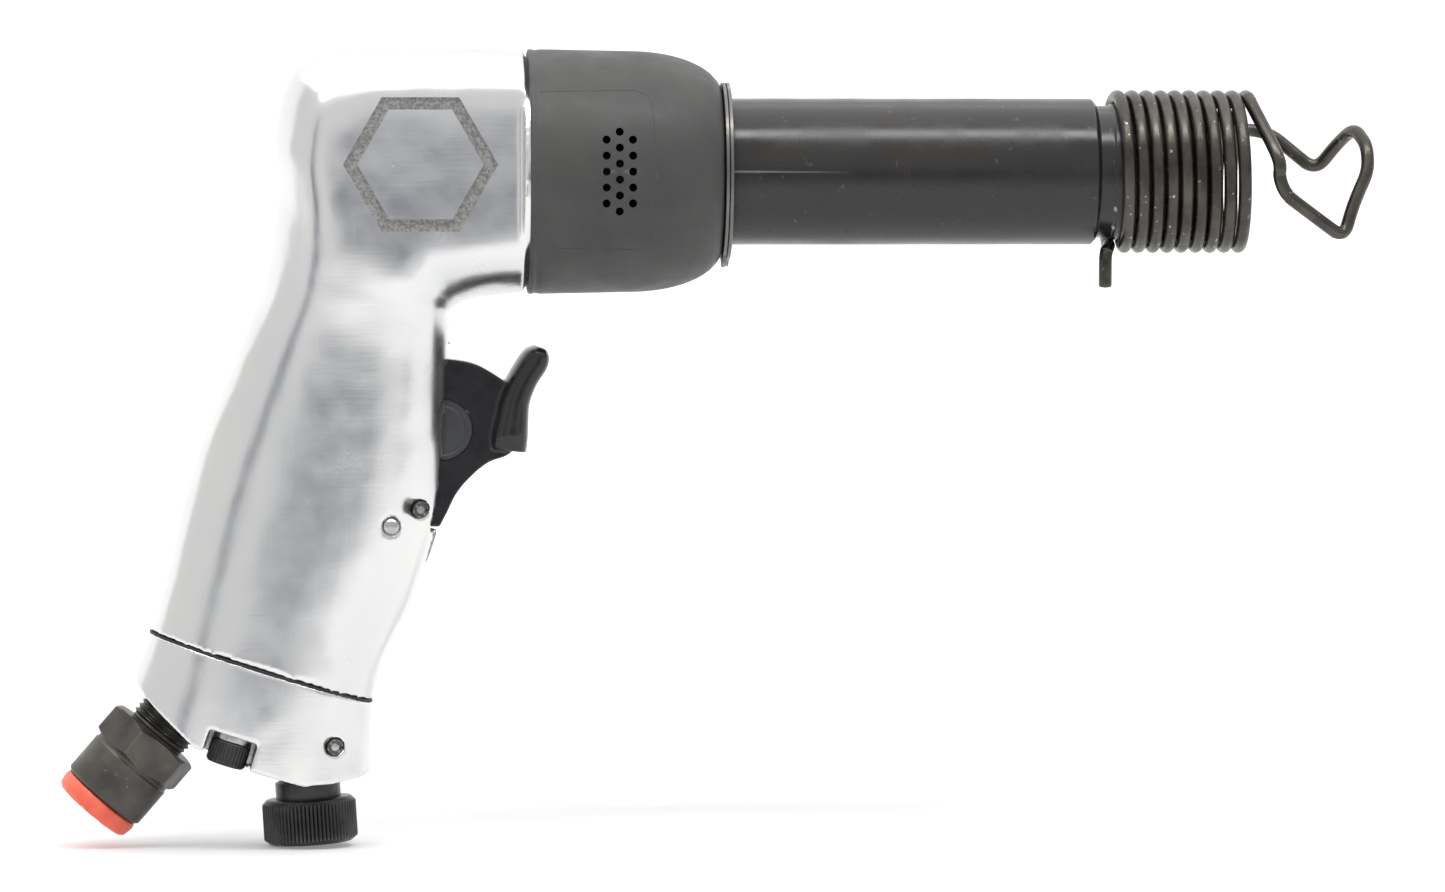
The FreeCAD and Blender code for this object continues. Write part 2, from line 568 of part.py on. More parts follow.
# ---------------------------------------------------------------- barrel and hammer
def barrel():
    body = turned([
        (BARREL_REAR_X, PISTON_BORE_R), (BARREL_REAR_X, THREAD_R), (SPIGOT_FRONT_X, THREAD_R),
        (SPIGOT_FRONT_X, COLLAR_R), (SPIGOT_FRONT_X + COLLAR_LENGTH, COLLAR_R),
        (SPIGOT_FRONT_X + COLLAR_LENGTH + 1.5, BARREL_R), (-124.0, BARREL_R), (-124.0, BARREL_R - 0.6),
        (-121.8, BARREL_R - 0.6), (-121.8, BARREL_R), (SHOULDER_X - 0.9, BARREL_R), (SHOULDER_X - 0.25, BARREL_R - 0.3),
        (SHOULDER_X, BARREL_R - 0.9), (SHOULDER_X, NOSE_GROOVE_R), (SHOULDER_X + 3.4, NOSE_GROOVE_R),
        (SHOULDER_X + 4.0, NOSE_R), (-1.2, NOSE_R), (0, NOSE_R - 1.2), (0, SHANK_BORE_R),
        (-SHANK_BORE_LENGTH, SHANK_BORE_R), (-SHANK_BORE_LENGTH, PISTON_BORE_R)])
    cuts = []
    for angle in around(4, 45):
        start = on_circle(BARREL_REAR_X - 1, AIR_PASSAGE_CIRCLE_R, angle)
        front = on_circle(-44.0, AIR_PASSAGE_CIRCLE_R, angle)
        cuts += [rod(AIR_PASSAGE_R, start, front), rod(AIR_PASSAGE_R, on_circle(-46.0, 7, angle),
                                                       on_circle(-46.0, AIR_PASSAGE_CIRCLE_R, angle))]
    for angle in around(4, 0):
        cuts.append(rod(EXHAUST_PORT_R, on_circle(EXHAUST_PORT_X, 6, angle), on_circle(EXHAUST_PORT_X, 22, angle)))
    cuts += [rod(DOWEL_R, on_circle(BARREL_REAR_X - 1, DOWEL_CIRCLE_R, a), on_circle(BARREL_REAR_X + 4, DOWEL_CIRCLE_R, a))
             for a in around(2)]
    return body.cut(cuts)


def piston():
    rear, length = -185.0, 54.0
    r = PISTON_BORE_R - 0.03
    front = rear + length
    return turned([(rear, 0), (rear, r - 1.0), (rear + 1.0, r), (rear + 18, r), (rear + 18, r - 0.8),
                   (rear + 20, r - 0.8), (rear + 20, r), (rear + 24, r), (rear + 24, r - 0.8), (rear + 26, r - 0.8),
                   (rear + 26, r), (front - 10, r), (front - 8, 6.2), (front - 0.8, 6.2), (front, 5.4), (front, 0)])


# ---------------------------------------------------------------- valve stack behind the barrel
VALVE_STACK_R = 20.8
CASE_REAR_X = -194.5
VALVE_SEAT_X = -190.5
VALVE_CHAMBER_R = 13.0
VALVE_THICKNESS = 2.5
DOWEL_R = 1.5
DOWEL_CIRCLE_R = 17.0


def dowel_holes():
    return [rod(DOWEL_R, on_circle(VALVE_BORE_FLOOR_X - 1, DOWEL_CIRCLE_R, a),
                on_circle(BARREL_REAR_X + 4, DOWEL_CIRCLE_R, a)) for a in around(2)]


def valve_case():
    body = turned([(CASE_REAR_X, VALVE_CHAMBER_R), (CASE_REAR_X, VALVE_STACK_R), (BARREL_REAR_X, VALVE_STACK_R),
                   (BARREL_REAR_X, 4.0), (VALVE_SEAT_X, 4.0), (VALVE_SEAT_X, VALVE_CHAMBER_R)])
    feeds = [rod(AIR_PASSAGE_R, on_circle(VALVE_SEAT_X - 1, AIR_PASSAGE_CIRCLE_R, a),
                 on_circle(BARREL_REAR_X + 1, AIR_PASSAGE_CIRCLE_R, a)) for a in around(4, 45)]
    return body.cut(feeds + dowel_holes())


def valve_block():
    body = rod(VALVE_STACK_R, Vector(VALVE_BORE_FLOOR_X, 0, 0), Vector(CASE_REAR_X, 0, 0))
    holes = [rod(1.9, on_circle(VALVE_BORE_FLOOR_X - 1, 8.0, a), on_circle(CASE_REAR_X + 1, 8.0, a))
             for a in around(6)]
    return body.cut(holes + dowel_holes())


def distributor_valve():
    rear = VALVE_SEAT_X - VALVE_THICKNESS
    return turned([(rear, 2.5), (rear, VALVE_CHAMBER_R - 0.1), (VALVE_SEAT_X, VALVE_CHAMBER_R - 0.1),
                   (VALVE_SEAT_X, 2.5)])


def valve_dowels():
    return Part.makeCompound([rod(DOWEL_R, on_circle(VALVE_BORE_FLOOR_X + 0.5, DOWEL_CIRCLE_R, a),
                                  on_circle(BARREL_REAR_X + 3.5, DOWEL_CIRCLE_R, a)) for a in around(2)])


# ---------------------------------------------------------------- exhaust deflector and its ring
def quarter_arc(start, end, steps=8):
    """Points of a quarter ellipse from start, where it runs along X, to end, where it runs inwards."""
    return [(start[0] + (end[0] - start[0]) * sin(pi / 2 * i / steps),
             end[1] + (start[1] - end[1]) * cos(pi / 2 * i / steps)) for i in range(steps + 1)]


def exhaust_deflector():
    rear, front = DEFLECTOR_REAR_X, DEFLECTOR_FRONT_X
    outer = [(rear, DEFLECTOR_REAR_R - 0.5), (rear + 0.5, DEFLECTOR_REAR_R)]
    outer += quarter_arc((DEFLECTOR_SHOULDER_X, DEFLECTOR_SHOULDER_R), (front, DEFLECTOR_FRONT_R - 2.0))
    inner_front = front - 3.5
    bore, rear_bore = BARREL_R + DEFLECTOR_CLEARANCE, SPIGOT_R + DEFLECTOR_CLEARANCE
    step_x = SPIGOT_FRONT_X + 0.3
    inner = quarter_arc((DEFLECTOR_SHOULDER_X, DEFLECTOR_SHOULDER_R - DEFLECTOR_WALL), (inner_front, bore))
    inner.reverse()
    body = turned([(rear, rear_bore)] + outer + [(front, bore)] + inner
                  + [(step_x, DEFLECTOR_SHOULDER_R - DEFLECTOR_WALL), (step_x, rear_bore)])
    vents = []
    for column in (-1, 0, 1):
        rows = 5 if column else 6
        for row in range(rows):
            z = (row - (rows - 1) / 2) * VENT_ROW_PITCH
            vents.append(cross_rod(VENT_R, Vector(EXHAUST_PORT_X + column * VENT_COLUMN_PITCH, 0, z), 40))
    barrel_space = rod(BARREL_R + 4, Vector(rear, 0, 0), Vector(front, 0, 0))
    return body.cut([v.cut(barrel_space) for v in vents])


def deflector_ring():
    """A two-turn flat retaining ring whose ends stand side by side under the barrel."""
    low, mid, high = -123.8, -122.8, -121.8
    turns = []
    for start, end, gap_at in ((low, mid, -96), (mid, high, -80)):
        turn = turned([(start, BARREL_R - 0.55), (start, 22.2), (end, 22.2), (end, BARREL_R - 0.55)])
        gap = block((start, -1.2, -26), (end, 1.2, -14))
        gap.rotate(ORIGIN, X, gap_at + 90)
        turns.append(turn.cut(gap))
    return turns[0].fuse(turns[1]).removeSplitter()


# ---------------------------------------------------------------- chisel retainer spring
# One end of the coil turns out as a finger tab under the barrel's front end. The other leaves the coil on the
# user's right, runs forward under the chisel's collar, arches over it and comes back on the left, where the
# wire's end tucks inside the coil.
TAB_POINTS = [(-28.3, -7.8, -28.4), (-28.3, -8.2, -20.8), (-27.4, -6.4, -18.4)]
KEEPER_POINTS = [(13.2, -18.6, 4.0), (14.4, -18.6, -5.0), (30.9, -12.4, -16.6), (33.4, -10.8, -8.4),
                 (37.4, -9.8, 0.4), (37.4, -7.4, 6.4), (35.6, 0.6, 11.0), (32.4, 8.8, 7.0), (27.4, 11.4, 0.2),
                 (15.0, 12.6, 10.4), (4.6, 11.0, 10.6)]


def rounded_points(points, reach_share=0.45, steps=3):
    """The corners between straight runs turned into short curves, as points along the path."""
    points = [Vector(*p) for p in points]
    path = [points[0]]
    for before, corner, after in zip(points, points[1:], points[2:]):
        reach = reach_share * min((corner - before).Length, (after - corner).Length)
        start = corner + (before - corner).normalize() * reach
        end = corner + (after - corner).normalize() * reach
        for i in range(steps + 1):
            t = i / steps
            path.append(start * (1 - t) ** 2 + corner * 2 * t * (1 - t) + end * t ** 2)
    return path + [points[-1]]


def retainer_spring():
    turns = coil_points(Vector(COIL_START_X, 0, 0), COIL_R, COIL_PITCH, COIL_TURNS, COIL_START_DEGREES, COIL_FACETS)
    return wire_through(rounded_points(TAB_POINTS) + turns + rounded_points(KEEPER_POINTS), WIRE_R, WIRE_SIDES)


PARTS = {
    "handle": handle, "handle_base": handle_base, "base_gasket": base_gasket, "base_screws": base_screws,
    "base_lock_washers": base_lock_washers, "regulator_pin": regulator_pin, "trigger_pivot_pin": trigger_pivot_pin,
    "trigger_stop_pin": trigger_stop_pin, "throttle_bushing": throttle_bushing,
    "throttle_bushing_o_ring": throttle_bushing_o_ring, "throttle_stem_o_ring": throttle_stem_o_ring,
    "throttle_spring": throttle_spring, "throttle_stem": throttle_stem, "throttle_seat_washer": throttle_seat_washer,
    "trigger": trigger, "trigger_wear_disc": trigger_wear_disc, "regulator_knob": regulator_knob,
    "regulator_o_ring": regulator_o_ring, "inlet_bushing": inlet_bushing, "inlet_screen": inlet_screen,
    "inlet_plug": inlet_plug, "barrel": barrel, "piston": piston, "valve_case": valve_case,
    "valve_block": valve_block, "distributor_valve": distributor_valve, "valve_dowels": valve_dowels,
    "exhaust_deflector": exhaust_deflector, "deflector_ring": deflector_ring, "retainer_spring": retainer_spring,
}


def main():
    os.makedirs("parts", exist_ok=True)
    for name, make in PARTS.items():
        shape = make()
        if not shape.isValid() or not shape.Solids:
            print("NOT A VALID SOLID:", name)
        print(f"{name}: {len(shape.Solids)} solid(s), {shape.Volume / 1000:.2f} cm3")
        shape.exportStep(f"parts/{name}.step")


main()
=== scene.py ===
"""The looks of a pneumatic air hammer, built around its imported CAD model.

Shapes are written in millimetres in the row frame (X towards the muzzle, Z up, the photo's camera at -Y) and
become metres when a mesh is made. Places come from the CAD nodes' boxes and the record's joints and mounts.
"""
import json
from math import cos, sin, radians, pi, sqrt

import bmesh
import bpy
import numpy as np
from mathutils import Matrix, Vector, noise


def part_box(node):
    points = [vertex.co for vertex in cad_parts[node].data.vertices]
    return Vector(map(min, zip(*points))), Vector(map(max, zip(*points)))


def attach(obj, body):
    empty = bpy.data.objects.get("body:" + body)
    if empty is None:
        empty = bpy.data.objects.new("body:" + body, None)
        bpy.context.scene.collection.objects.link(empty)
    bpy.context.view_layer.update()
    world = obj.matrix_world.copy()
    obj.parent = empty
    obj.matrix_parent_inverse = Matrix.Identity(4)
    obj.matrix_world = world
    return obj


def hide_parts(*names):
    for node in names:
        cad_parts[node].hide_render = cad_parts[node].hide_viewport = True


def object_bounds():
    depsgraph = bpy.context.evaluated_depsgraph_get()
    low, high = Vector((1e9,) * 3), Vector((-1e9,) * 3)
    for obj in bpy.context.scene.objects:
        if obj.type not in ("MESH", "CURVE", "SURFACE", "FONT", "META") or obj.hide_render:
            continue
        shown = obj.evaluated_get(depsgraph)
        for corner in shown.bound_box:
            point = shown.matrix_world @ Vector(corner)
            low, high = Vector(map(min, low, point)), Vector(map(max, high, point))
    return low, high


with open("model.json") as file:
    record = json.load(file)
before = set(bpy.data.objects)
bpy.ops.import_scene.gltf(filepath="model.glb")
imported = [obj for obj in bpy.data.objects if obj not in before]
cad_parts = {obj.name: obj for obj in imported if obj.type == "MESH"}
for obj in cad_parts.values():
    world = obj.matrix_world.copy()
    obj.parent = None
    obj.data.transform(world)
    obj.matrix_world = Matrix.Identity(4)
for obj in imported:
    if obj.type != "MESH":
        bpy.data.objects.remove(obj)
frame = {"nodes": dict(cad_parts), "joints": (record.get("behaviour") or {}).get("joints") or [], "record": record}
cad_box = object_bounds()

MM = 0.001
X, Y, Z = Vector((1, 0, 0)), Vector((0, 1, 0)), Vector((0, 0, 1))


# ---------------------------------------------------------------- places, from the frame, in millimetres
def low(node):
    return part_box(node)[0] / MM


def high(node):
    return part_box(node)[1] / MM


def centre(node):
    return (low(node) + high(node)) / 2


def joint(name):
    return next(j for j in frame["joints"] if j["name"] == name)


def mount(name):
    return next(m for m in frame["record"]["mounts"] if m["name"] == name)


MUZZLE_X = high("barrel").x
BARREL_REAR_X = low("barrel").x
SPIGOT_FRONT_X = high("handle").x
HEAD_FRONT_X = SPIGOT_FRONT_X - 5.1
PIVOT = centre("trigger_pivot_pin")
STOP = centre("trigger_stop_pin")
REGULATOR_PIN = centre("regulator_pin")
KNOB_POINT = Vector(joint("regulator_turn")["pos_m"]) / MM
KNOB_UP = Vector(joint("regulator_turn")["axis"])
INLET_OUT = Vector(mount("air_inlet")["axis"])
INLET_POINT = Vector(mount("air_inlet")["pos_m"]) / MM
INLET_FACE = INLET_POINT - INLET_OUT * 15.4
BASE_TILT = 17.8
DOWN_GRIP = Vector((-sin(radians(BASE_TILT)), 0, -cos(radians(BASE_TILT))))
DISC = centre("trigger_wear_disc")
THROTTLE_AT = Vector((-193.6, 0, DISC.z))


# ---------------------------------------------------------------- mesh helpers
def mesh_object(name, verts, faces):
    mesh = bpy.data.meshes.new(name)
    mesh.from_pydata([tuple(c * MM for c in v) for v in verts], [], faces)
    mesh.update()
    obj = bpy.data.objects.new(name, mesh)
    bpy.context.scene.collection.objects.link(obj)
    return obj


def tidy_normals(obj):
    bm = bmesh.new()
    bm.from_mesh(obj.data)
    bmesh.ops.remove_doubles(bm, verts=bm.verts, dist=1e-7)
    bmesh.ops.recalc_face_normals(bm, faces=bm.faces)
    bm.to_mesh(obj.data)
    bm.free()


def smooth(obj, angle=38):
    obj.data.polygons.foreach_set("use_smooth", [True] * len(obj.data.polygons))
    obj.data.set_sharp_from_angle(angle=radians(angle))
    return obj


def grid_object(name, rings, open_ends=False, angle=38):
    """A tube of rings that all have the same number of points. Both ends are filled unless open_ends is set."""
    count = len(rings[0])
    verts = [p for ring in rings for p in ring]
    faces = []
    for i in range(len(rings) - 1):
        for j in range(count):
            k = (j + 1) % count
            faces.append((i * count + j, i * count + k, (i + 1) * count + k, (i + 1) * count + j))
    if not open_ends:
        last = (len(rings) - 1) * count
        faces.append(tuple(range(count - 1, -1, -1)))
        faces.append(tuple(last + j for j in range(count)))
    obj = mesh_object(name, verts, faces)
    tidy_normals(obj)
    return smooth(obj, angle)


def axes_of(direction):
    """Two directions square to the one given."""
    side = Y if abs(direction.dot(Y)) < 0.9 else X
    first = (side - direction * side.dot(direction)).normalized()
    return first, direction.cross(first)


def rounded(profile, radius, steps, closed=True):
    """A profile of (along, radius) points with each corner turned into a small arc."""
    points = [Vector((a, r)) for a, r in profile]
    count = len(points)
    path = []
    for i, corner in enumerate(points):
        before, after = points[i - 1], points[(i + 1) % count]
        if not closed and i in (0, count - 1):
            path.append(corner)
            continue
        if corner.y < 1e-6:
            path.append(corner)
            continue
        reach = min(radius, 0.42 * (before - corner).length, 0.42 * (after - corner).length)
        start = corner + (before - corner).normalized() * reach
        end = corner + (after - corner).normalized() * reach
        for step in range(steps + 1):
            t = step / steps
            path.append(start * (1 - t) ** 2 + corner * 2 * t * (1 - t) + end * t ** 2)
    return [(p.x, p.y) for p in path]


def lathe(name, profile, base=Vector(), axis=X, segments=96, corner=0.25, closed=True, steps=3):
    """A solid turned about axis. A closed profile is a loop, and an open one starts and ends on the axis."""
    path = rounded(profile, corner, steps, closed)
    first, second = axes_of(axis)
    rings = []
    for along, radius in path:
        radius = max(radius, 0.001)
        rings.append([base + axis * along + (first * cos(a) + second * sin(a)) * radius
                      for a in (2 * pi * j / segments for j in range(segments))])
    if closed:
        rings.append(rings[0])
    return grid_object(name, rings, open_ends=closed)


def polar(name, levels, radius_at, base, axis, count, angle=38):
    """A solid about axis whose radius depends on level and angle. It is closed by flat ends."""
    first, second = axes_of(axis)
    rings = [[base + axis * level + (first * cos(a) + second * sin(a)) * radius_at(level, a)
              for a in (2 * pi * j / count for j in range(count))] for level in levels]
    return grid_object(name, rings, angle=angle)


def tube(name, path, radius, sides=16):
    """A round wire along a list of points, with domed ends."""
    path = [Vector(p) for p in path]
    heading = (path[1] - path[0]).normalized()
    across = axes_of(heading)[0]
    rings = []
    for i, point in enumerate(path):
        ahead = path[min(i + 1, len(path) - 1)] - path[max(i - 1, 0)]
        ahead.normalize()
        across = (across - ahead * across.dot(ahead)).normalized()
        up = ahead.cross(across)
        around = [across * cos(2 * pi * j / sides) + up * sin(2 * pi * j / sides) for j in range(sides)]
        if i == 0:
            rings += [[point - ahead * radius * 0.35 * (1 - s) + d * radius * sqrt(max(1 - (1 - s) ** 2,
                                                                                       0.0001))
                       for d in around]
                      for s in (0.0, 0.3, 0.65)]
        rings.append([point + d * radius for d in around])
        if i == len(path) - 1:
            rings += [[point + ahead * radius * 0.35 * s + d * radius * sqrt(max(1 - s ** 2, 0.0001))
                       for d in around] for s in (0.35, 0.7, 1.0)]
    return grid_object(name, rings, angle=50)


def prism(name, points, half_width, centre_at=0.0):
    """An outline of (x, z) points made solid along Y."""
    back = [Vector((x, centre_at - half_width, z)) for x, z in points]
    front = [Vector((x, centre_at + half_width, z)) for x, z in points]
    return grid_object(name, [back, front])


def rod(name, radius, start, end, segments=48):
    axis, length = (end - start).normalized(), (end - start).length
    profile = [(0, 0), (0, radius), (length, radius), (length, 0)]
    return lathe(name, profile, start, axis, segments, corner=0.001, closed=False)


def cross_rod(name, radius, at, half_length):
    return rod(name, radius, at - Y * half_length, at + Y * half_length)


def box_of(name, lowest, highest):
    return prism(name, [(lowest[0], lowest[2]), (highest[0], lowest[2]), (highest[0], highest[2]),
                        (lowest[0], highest[2])], (highest[1] - lowest[1]) / 2,
                 centre_at=(highest[1] + lowest[1]) / 2)


def baked(obj):
    """The object's modifiers made part of its mesh."""
    graph = bpy.context.evaluated_depsgraph_get()
    mesh = bpy.data.meshes.new_from_object(obj.evaluated_get(graph))
    obj.modifiers.clear()
    obj.data = mesh
    return obj


def cut(obj, tools, operation="DIFFERENCE", solver="EXACT"):
    for tool in tools:
        step = obj.modifiers.new("cut", "BOOLEAN")
        step.operation = operation
        step.object = tool
        step.solver = solver
    baked(obj)
    for tool in tools:
        bpy.data.objects.remove(tool)
    return obj


def joined(name, pieces):
    """Several objects as one, which remeshed() then fuses where they overlap."""
    bm = bmesh.new()
    for piece in pieces:
        bm.from_mesh(piece.data)
        bpy.data.objects.remove(piece)
    mesh = bpy.data.meshes.new(name)
    bm.to_mesh(mesh)
    bm.free()
    obj = bpy.data.objects.new(name, mesh)
    bpy.context.scene.collection.objects.link(obj)
    return obj


def remeshed(obj, voxel, relax, factor=0.5):
    """One even skin with every edge a little rounded, as on a casting or a moulding."""
    skin = obj.modifiers.new("skin", "REMESH")
    skin.mode = "VOXEL"
    skin.voxel_size = voxel * MM
    ease = obj.modifiers.new("ease", "SMOOTH")
    ease.factor = factor
    ease.iterations = relax
    baked(obj)
    obj.data.polygons.foreach_set("use_smooth", [True] * len(obj.data.polygons))
    return obj


def displaced(obj, offset_at):
    """Moves each vertex along its normal by offset_at(place in mm), in mm."""
    mesh = obj.data
    normals = [v.normal.copy() for v in mesh.vertices]
    for vertex, normal in zip(mesh.vertices, normals):
        vertex.co += normal * offset_at(vertex.co / MM) * MM
    mesh.update()
    return obj


# ---------------------------------------------------------------- materials
class Shader:
    """A small wrapper that adds nodes and links to one material."""

    def __init__(self, name):
        self.material = bpy.data.materials.new(name)
        self.material.use_nodes = True
        self.tree = self.material.node_tree
        self.principled = self.tree.nodes["Principled BSDF"]
        self.place = self.tree.nodes.new("ShaderNodeTexCoord").outputs["Object"]

    def node(self, kind, **inputs):
        made = self.tree.nodes.new(kind)
        for key, value in inputs.items():
            socket = made.inputs[key.replace("_", " ")]
            if isinstance(value, bpy.types.NodeSocket):
                self.tree.links.new(value, socket)
            else:
                socket.default_value = value
        return made

    def noise(self, per_metre, detail=4.0, roughness=0.55, stretch=(1, 1, 1), turn=(0, 0, 0)):
        mapping = self.node("ShaderNodeMapping", Vector=self.place, Scale=stretch, Rotation=turn)
        return self.node("ShaderNodeTexNoise", Vector=mapping.outputs[0], Scale=per_metre, Detail=detail,
                         Roughness=roughness).outputs[0]

    def remap(self, value, from_low, from_high, to_low, to_high):
        made = self.node("ShaderNodeMapRange", Value=value)
        for socket, number in zip(made.inputs[1:5], (from_low, from_high, to_low, to_high)):
            socket.default_value = number
        return made.outputs[0]

    def mix(self, amount, first, second):
        made = self.tree.nodes.new("ShaderNodeMix")
        made.data_type = "RGBA"
        for socket, value in zip((made.inputs[0], made.inputs[6], made.inputs[7]), (amount, first, second)):
            if isinstance(value, bpy.types.NodeSocket):
                self.tree.links.new(value, socket)
            elif socket.type == "RGBA":
                socket.default_value = (*value, 1)
            else:
                socket.default_value = value
        return made.outputs[2]

    def add(self, first, second):
        made = self.tree.nodes.new("ShaderNodeMath")
        for socket, value in zip(made.inputs, (first, second)):
            if isinstance(value, bpy.types.NodeSocket):
                self.tree.links.new(value, socket)
            else:
                socket.default_value = value
        return made.outputs[0]

    def bump(self, height, distance_mm, strength=1.0, normal=None):
        made = self.node("ShaderNodeBump", Height=height, Distance=distance_mm * MM, Strength=strength)
        if normal:
            self.tree.links.new(normal, made.inputs["Normal"])
        return made.outputs[0]

    def edges(self, start, end):
        """1 on outside edges, 0 elsewhere."""
        pointiness = self.tree.nodes.new("ShaderNodeNewGeometry").outputs["Pointiness"]
        return self.remap(pointiness, start, end, 0, 1)

    def finish(self, **sockets):
        for key, value in sockets.items():
            socket = self.principled.inputs[key.replace("_", " ")]
            if isinstance(value, bpy.types.NodeSocket):
                self.tree.links.new(value, socket)
            else:
                socket.default_value = value
        return self.material


def general(name, colour, second_colour, metallic, roughness, patch, rough_spread=0.08, grain=900,
            grain_depth=0.01, stretch=(1, 1, 1), edge_colour=None, edge_range=None, speck=None, **sockets):
    """What most finishes share: two colours in soft patches, uneven roughness, fine grain and worn edges."""
    shader = Shader(name)
    patches = shader.remap(shader.noise(patch), 0.35, 0.65, 0, 1)
    tint = shader.mix(patches, colour, second_colour)
    if speck:
        speck_colour, speck_size, speck_share = speck
        dots = shader.remap(shader.noise(speck_size, detail=2), speck_share, speck_share + 0.04, 0, 1)
        tint = shader.mix(dots, tint, speck_colour)
    if edge_colour:
        tint = shader.mix(shader.edges(*edge_range), tint, edge_colour)
    rough = shader.remap(shader.noise(patch * 3.1, detail=6), 0.3, 0.7, roughness - rough_spread,
                         roughness + rough_spread)
    normal = shader.bump(shader.noise(grain, detail=5, stretch=stretch), grain_depth)
    return shader.finish(Base_Color=tint, Metallic=metallic, Roughness=rough, Normal=normal, **sockets)


def polished_aluminium():
    """Hand-polished casting: soft cloudy patches, fine crossed scratches and a low orange-peel ripple."""
    shader = Shader("polished_aluminium")
    cloud = shader.noise(32, detail=4, roughness=0.5, stretch=(1, 1, 0.5), turn=(0, 0.35, 0))
    tint = shader.mix(shader.remap(cloud, 0.3, 0.7, 0, 1), (0.8, 0.795, 0.785), (0.7, 0.705, 0.715))
    fine = shader.noise(1500, detail=3, stretch=(1, 1, 0.06), turn=(0, 0.3, 0))
    cross = shader.noise(1300, detail=3, stretch=(0.07, 1, 1), turn=(0, -0.25, 0))
    scratches = shader.add(fine, cross)
    rough = shader.remap(shader.add(cloud, shader.noise(120, detail=3)), 0.6, 1.4, 0.16, 0.3)
    ripple = shader.bump(shader.noise(45, detail=1), 0.16)
    normal = shader.bump(scratches, 0.01, normal=ripple)
    return shader.finish(Base_Color=tint, Metallic=1.0, Roughness=rough, Normal=normal)


def cast_aluminium():
    """The casting's own skin, left in the recesses that the polishing wheel can't reach."""
    shader = Shader("cast_aluminium")
    grain = shader.noise(1400, detail=4, roughness=0.7)
    tint = shader.mix(shader.remap(grain, 0.4, 0.6, 0, 1), (0.2, 0.195, 0.19), (0.38, 0.37, 0.36))
    normal = shader.bump(grain, 0.16)
    return shader.finish(Base_Color=tint, Metallic=0.7, Roughness=0.55, Normal=normal)


ALUMINIUM = polished_aluminium()
CAST = cast_aluminium()
BLACK_STEEL = general("black_oxide_steel", (0.012, 0.0115, 0.011), (0.018, 0.016, 0.0145), 0.0, 0.26,
                      patch=30,
                      grain=1200, grain_depth=0.006, stretch=(0.05, 1, 1), edge_colour=(0.3, 0.29, 0.28),
                      edge_range=(0.56, 0.64), speck=((0.05, 0.042, 0.036), 420, 0.7))
DARK_STEEL = general("dark_steel", (0.035, 0.035, 0.037), (0.07, 0.068, 0.065), 0.9, 0.36, patch=120,
                     grain=1600, grain_depth=0.01, edge_colour=(0.32, 0.31, 0.3), edge_range=(0.54, 0.62))
PHOSPHATE_STEEL = general("phosphated_steel", (0.07, 0.066, 0.06), (0.12, 0.112, 0.1), 0.85, 0.42, patch=90,
                          grain=1500, grain_depth=0.015, edge_colour=(0.34, 0.33, 0.31),
                          edge_range=(0.54, 0.62),
                          speck=((0.15, 0.14, 0.125), 800, 0.7))
SPRING_STEEL = general("spring_wire", (0.05, 0.047, 0.042), (0.1, 0.092, 0.08), 0.9, 0.33, patch=110,
                       grain=900,
                       grain_depth=0.012, speck=((0.4, 0.38, 0.35), 700, 0.69))
BRIGHT_STEEL = general("ground_steel", (0.55, 0.55, 0.56), (0.42, 0.42, 0.43), 1.0, 0.28, patch=200,
                       grain=2500,
                       grain_depth=0.006)
BRASS = general("turned_brass", (0.62, 0.45, 0.18), (0.5, 0.36, 0.15), 1.0, 0.3, patch=150, grain=1800,
                grain_depth=0.006)
DEFLECTOR_RUBBER = general("deflector_rubber", (0.05, 0.049, 0.048), (0.064, 0.063, 0.061), 0.0, 0.5,
                           patch=55,
                           grain=1300, grain_depth=0.02, edge_colour=(0.1, 0.1, 0.097),
                           edge_range=(0.55, 0.66),
                           Specular_IOR_Level=0.35)
SEAL_RUBBER = general("seal_rubber", (0.02, 0.02, 0.02), (0.035, 0.035, 0.034), 0.0, 0.6, patch=150,
                      grain=1500,
                      grain_depth=0.02)
TRIGGER_PLASTIC = general("trigger_plastic", (0.009, 0.009, 0.01), (0.015, 0.015, 0.017), 0.0, 0.2, patch=80,
                          rough_spread=0.05, grain=500, grain_depth=0.02)
DISC_PLASTIC = general("disc_plastic", (0.028, 0.029, 0.032), (0.04, 0.041, 0.045), 0.0, 0.42, patch=150,
                       grain=1500, grain_depth=0.015)
PLUG_PLASTIC = general("plug_plastic", (0.75, 0.1, 0.055), (0.82, 0.16, 0.09), 0.0, 0.4, patch=160, grain=900,
                       grain_depth=0.03, edge_colour=(0.9, 0.3, 0.2), edge_range=(0.54, 0.64),
                       Subsurface_Weight=0.15, Subsurface_Scale=0.002)


def place(obj, body, material, nodes=(), slot=None):
    """Rides and dresses one piece, and hides the CAD nodes it stands for."""
    if not obj.data.materials:
        obj.data.materials.append(material)
    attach(obj, body)
    if nodes:
        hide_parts(*nodes)
    return obj


